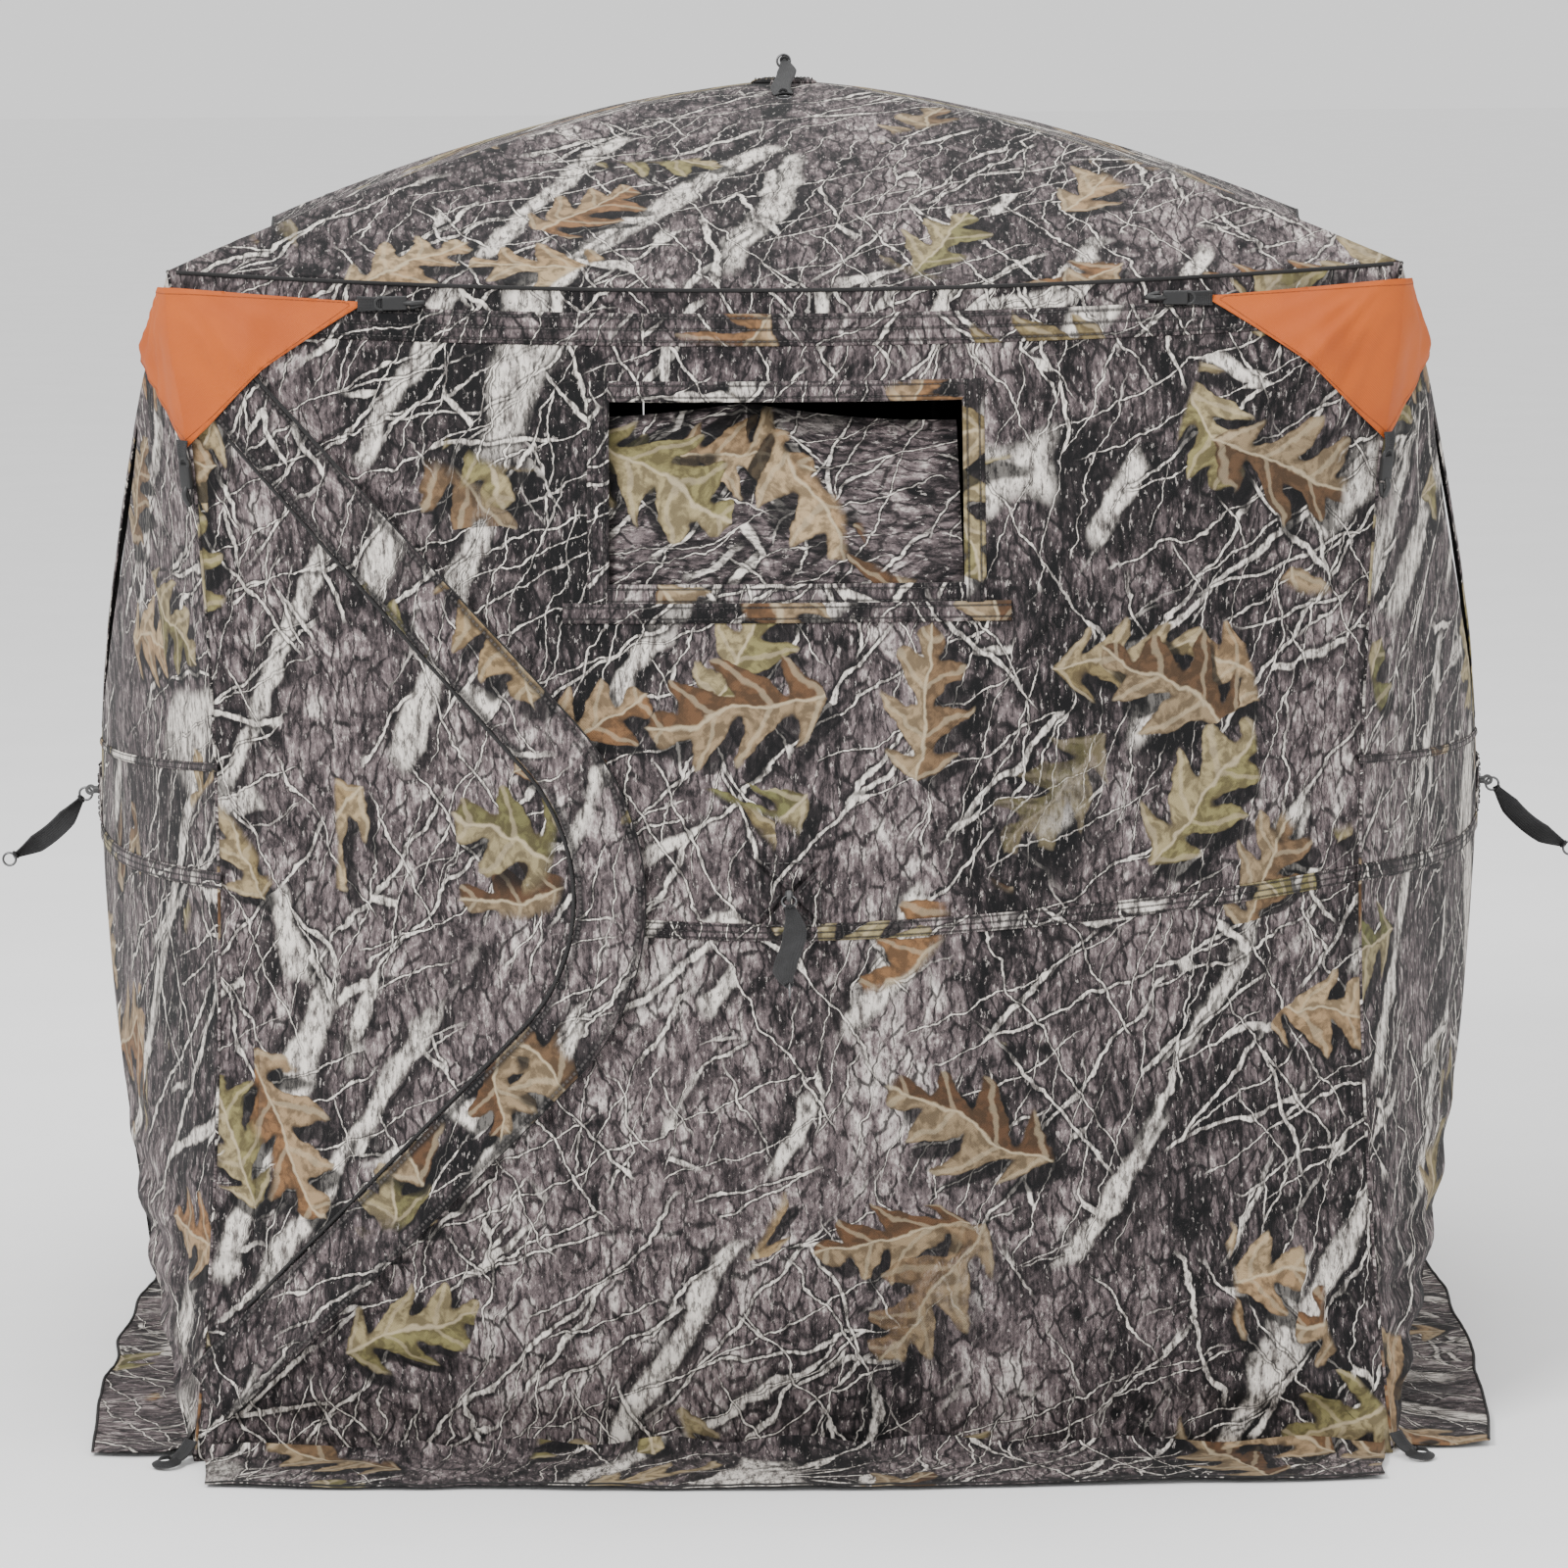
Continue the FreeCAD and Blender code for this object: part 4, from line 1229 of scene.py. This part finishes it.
def block(name, origin, x_axis, y_axis, z_axis, size, round_by, material):
    """A rounded moulded block, from its middle and its own axes."""
    mesh = bmesh.new()
    bmesh.ops.create_cube(mesh, size=1.0)
    bmesh.ops.scale(mesh, vec=size, verts=mesh.verts)
    bmesh.ops.bevel(mesh, geom=mesh.edges[:], offset=round_by, segments=3, profile=0.6, affect="EDGES")
    points = [origin + x_axis * v.co.x + y_axis * v.co.y + z_axis * v.co.z for v in mesh.verts]
    mesh.verts.index_update()
    faces = [tuple(v.index for v in face.verts) for face in mesh.faces]
    mesh.free()
    return add_mesh(name, points, faces, material)


def hook_and_tab(name, start, along, out):
    """A webbing tab from a flag's point, and the moulded hook it holds; out faces away from the cloth."""
    sideways = along.cross(out).normalized()
    centres, normals, widths = [], [], []
    for k in range(16):
        s = k / 15
        centres.append(start + along * (0.030 * s - 0.010) + out * (0.0035 + 0.003 * math.sin(math.pi * s)))
        normals.append(out)
        widths.append(0.018 - 0.004 * s)
    tab = webbing_strip(name + "_tab", centres, normals, widths, 0.0022, 5)
    body = start + along * 0.034 + out * 0.005
    barrel = block(name + "_barrel", body, along, sideways, out, (0.030, 0.017, 0.0085), 0.0026, HOOK)
    bend = [body + along * (0.010 + 0.024 * t) + out * (0.0058 * math.sin(math.pi * t))
            for t in np.linspace(0, 1, 14)]
    bend += [body + along * (0.034 - 0.016 * t) - out * 0.001
             + sideways * (0.0042 * math.sin(math.pi * t / 2)) for t in np.linspace(0.05, 1, 8)]
    bar = tube(name + "_bar", bend, 0.0040, HOOK, 10, squeeze=0.8)
    middle = start + along * 0.018 + out * 0.0058
    loop = ring(name + "_loop", middle, out, along, 0.0072, 0.0024, HOOK)
    return joined(name, [tab, barrel, bar, loop])


def corner_flags():
    """The four flags, each held out by a hook under the eave on both walls and one down the corner."""
    flags, hooks = [], []
    for right_name, left_name in zip(WALLS, WALLS[-1:] + WALLS[:-1]):
        right_wall, left_wall = PANELS[right_name], PANELS[left_name]
        name = "flag_" + left_name + "_" + right_name
        flags.append(corner_flag(name, right_wall, left_wall))
        for panel, end in ((right_wall, -1), (left_wall, 1)):
            inner, top = end * (HALF - FLAG_ALONG), panel.half_height - FLAG_TOP - 0.008
            start = Vector(panel.place([inner], [top], 0.004)[0])
            ahead = Vector(panel.place([inner - end * 0.05], [top + 0.003], 0.004)[0])
            label = f"hook_eave_{panel.name}_{'right' if end > 0 else 'left'}"
            hooks.append(hook_and_tab(label, start, (ahead - start).normalized(), panel.out))
        level = right_wall.half_height - FLAG_DOWN
        seam = right_wall.place([-HALF, -HALF], [level, level - 0.06])
        outward = (right_wall.out + left_wall.out).normalized()
        start, below = Vector(seam[0]) + outward * 0.006, Vector(seam[1]) + outward * 0.006
        label = "hook_corner_" + left_name + "_" + right_name
        hooks.append(hook_and_tab(label, start, (below - start).normalized(), outward))
    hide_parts("corner_flags")
    for hook in hooks:
        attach(hook, "root")
    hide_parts("flag_hooks")


# ---------------------------------------------------------------- skirt and stake loops

SKIRT_NEAR = 0.128
SKIRT_FAR = 0.172
LOOP_OFFSET = 0.030


def ground_skirt():
    """The four flaps that lie rippled on the ground outside the walls."""
    first = None
    for name in WALLS:
        panel = PANELS[name]
        reach = HALF - 0.012
        across_steps, out_steps = 150, 22
        s = np.linspace(-1, 1, across_steps + 1)
        r = np.linspace(0, 1, out_steps + 1)
        grid_s, grid_r = (g.ravel() for g in np.meshgrid(s, r))
        width = SKIRT_NEAR + (SKIRT_FAR - SKIRT_NEAR) * (1 - np.abs(grid_s) ** 2.2)
        width = width + 0.006 * value_noise(grid_s * 6, grid_s * 0, panel.seed)
        x = grid_s * (reach - 0.012 * grid_r + 0.004 * value_noise(grid_r * 3, grid_s * 2, panel.seed))
        start = panel.place(grid_s * reach, np.full_like(grid_s, -panel.half_height))
        out = np.array(panel.out)
        depth = (start - np.array(panel.centre)) @ out
        ripple = 0.5 + 0.5 * np.sin(grid_s * 25 + 2.2 * value_noise(grid_s * 4, grid_r * 2, panel.seed))
        height = (0.004 + 0.015 * np.exp(-grid_r * 6)) * ripple * np.exp(-grid_r * 1.1) * (1 - 0.4 * grid_r)
        height = 0.0035 + height + 0.020 * np.exp(-grid_r * 12)
        height += 0.0030 * (1 + fractal(grid_s * 9, grid_r * 3, panel.seed)) * (0.4 + grid_r)
        base = np.array([panel.centre.x, panel.centre.y, 0.0])
        points = base + np.outer(x, np.array(panel.across)) + np.outer(depth + width * grid_r, out)
        points[:, 2] = height
        faces = facing(points, grid_faces(out_steps, across_steps), Z)
        uv = np.stack([x, -width * grid_r], axis=1) + np.array(PRINT_SHIFT[name]) + 2.2
        skirt = add_mesh(name + "_skirt", points, faces, CAMO, uv)
        thicken(skirt, 0.0011, LINING)
        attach(skirt, "root")
        rim = points[-(across_steps + 1):] - out * 0.002
        edge = tube(name + "_skirt_hem", rim, 0.0020, PIPING_AND_PAINTED_SHADOW, 6)
        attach(edge, "root")
        first = first or skirt
    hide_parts("ground_skirt")


def stake_loops():
    """A webbing loop at each lower corner, sewn to the seam, for a ground stake."""
    first = None
    for right_name, left_name in zip(WALLS, WALLS[-1:] + WALLS[:-1]):
        away = (PANELS[right_name].out + PANELS[left_name].out).normalized()
        corner = Vector((away.x, away.y, 0)) * (HALF * math.sqrt(2))
        sideways = away.cross(Z)
        reach = LOOP_OFFSET * math.sqrt(2)
        centres, normals, widths = [], [], []
        for k in range(40):
            angle = -0.82 * math.pi + 1.64 * math.pi * k / 39
            centres.append(corner + away * (reach + 0.013 * math.cos(angle))
                           + sideways * (0.013 * math.sin(angle))
                           + Z * (0.0062 + 0.004 * (1 - math.cos(angle)) / 2))
            normals.append(away * math.cos(angle) + sideways * math.sin(angle) + Z * 1.4)
            widths.append(0.011)
        loop = webbing_strip(f"stake_loop_{left_name}_{right_name}", centres, normals, widths, 0.0022, 4)
        tail = [corner + away * (0.002 + 0.030 * t) + Z * (0.020 * (1 - t) ** 2 + 0.0065)
                for t in np.linspace(0, 1, 12)]
        tab = webbing_strip("tab", tail, [Z + away * 0.5] * 12, [0.022] * 12, 0.0026, 5)
        piece = joined(loop.name, [loop, tab])
        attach(piece, "root")
        first = first or piece
    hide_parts("stake_loops")


# ---------------------------------------------------------------- the frame's own parts

def finish_frame():
    """Materials for the hubs, rods and pockets that the CAD keeps."""
    for name, node in frame["nodes"].items():
        material = HUB if name.endswith("_hub") else GLASS_ROD if "_rod_" in name else POCKET
        if not node.hide_render:
            for index in range(len(node.material_slots)):
                node.material_slots[index].material = material


# ---------------------------------------------------------------- stage, light and camera

CAMERA_PLACE = Vector((0.0059, -7.7091, 1.8259))
CAMERA_PITCH = 0.1413
CAMERA_YAW = -0.0016
CAMERA_ROLL = -0.0074
CAMERA_LENS = 134.1
LIT_PLACE = Vector((0, 0, 0.8))
SKY_STRENGTH = 1.15
FLOOR_REACH = 60.0


def area_light(name, place, size, power):
    """A rectangular light that faces the middle of the blind."""
    lamp = bpy.data.lights.new(name, "AREA")
    lamp.shape = "RECTANGLE"
    lamp.size, lamp.size_y = size
    lamp.energy = power
    piece = bpy.data.objects.new(name, lamp)
    piece.location = place
    piece.rotation_euler = (LIT_PLACE - Vector(place)).to_track_quat("-Z", "Y").to_euler()
    bpy.context.scene.collection.objects.link(piece)


def stage():
    """A pale floor, soft studio light and the camera."""
    floor_shader = Shader("Pale_floor", roughness=0.9)
    speck = floor_shader.noise(floor_shader.add("TexCoord").outputs["Object"], 3.0, 3.0)
    pale = floor_shader.ramp(speck, ((0.3, (0.93, 0.93, 0.93)), (0.7, (0.96, 0.96, 0.96))))
    floor_shader.surface.inputs["Specular IOR Level"].default_value = 0.0
    floor_material = floor_shader.finish(pale)
    corners = [(x * FLOOR_REACH, y * FLOOR_REACH, 0) for x, y in ((-1, -1), (1, -1), (1, 1), (-1, 1))]
    floor = add_mesh("Floor", corners, [(0, 1, 2, 3)], floor_material)
    world = bpy.data.worlds.new("Studio")
    bpy.context.scene.world = world
    world.use_nodes = True
    world.node_tree.nodes["Background"].inputs["Color"].default_value = (1, 1, 1, 1)
    world.node_tree.nodes["Background"].inputs["Strength"].default_value = SKY_STRENGTH
    area_light("Key", (-3.4, -5.2, 5.8), (2.2, 1.8), 520)
    area_light("Fill", (4.8, -5.4, 3.0), (4.0, 3.5), 90)
    area_light("Top", (0.4, 1.0, 6.5), (4.5, 4.5), 190)

    lens = bpy.data.cameras.new("Camera")
    lens.lens = CAMERA_LENS
    lens.sensor_width = 36.0
    lens.clip_end = 200.0
    camera = bpy.data.objects.new("Camera", lens)
    bpy.context.scene.collection.objects.link(camera)
    level = math.cos(CAMERA_PITCH)
    forward = Vector((math.sin(CAMERA_YAW) * level, math.cos(CAMERA_YAW) * level, -math.sin(CAMERA_PITCH)))
    right = Vector((math.cos(CAMERA_YAW), -math.sin(CAMERA_YAW), 0))
    up = right.cross(forward)
    sideways = right * math.cos(CAMERA_ROLL) + up * math.sin(CAMERA_ROLL)
    upright = up * math.cos(CAMERA_ROLL) - right * math.sin(CAMERA_ROLL)
    rotation = Matrix((sideways, upright, -forward)).transposed()
    camera.matrix_world = Matrix.Translation(CAMERA_PLACE) @ rotation.to_4x4()
    bpy.context.scene.camera = camera


# ---------------------------------------------------------------- everything in order

WINDOW = {name: window_shape(PANELS[name]) for name in WALLS}

gore_cloths()
door()
for wall in WALLS:
    window_cover(PANELS[wall], WINDOW[wall])
    window_hems(PANELS[wall], WINDOW[wall])
eave_seams()
corner_seams()
waist_bands()
hub_patches()
pull_straps()
corner_flags()
ground_skirt()
stake_loops()
finish_frame()
stage()
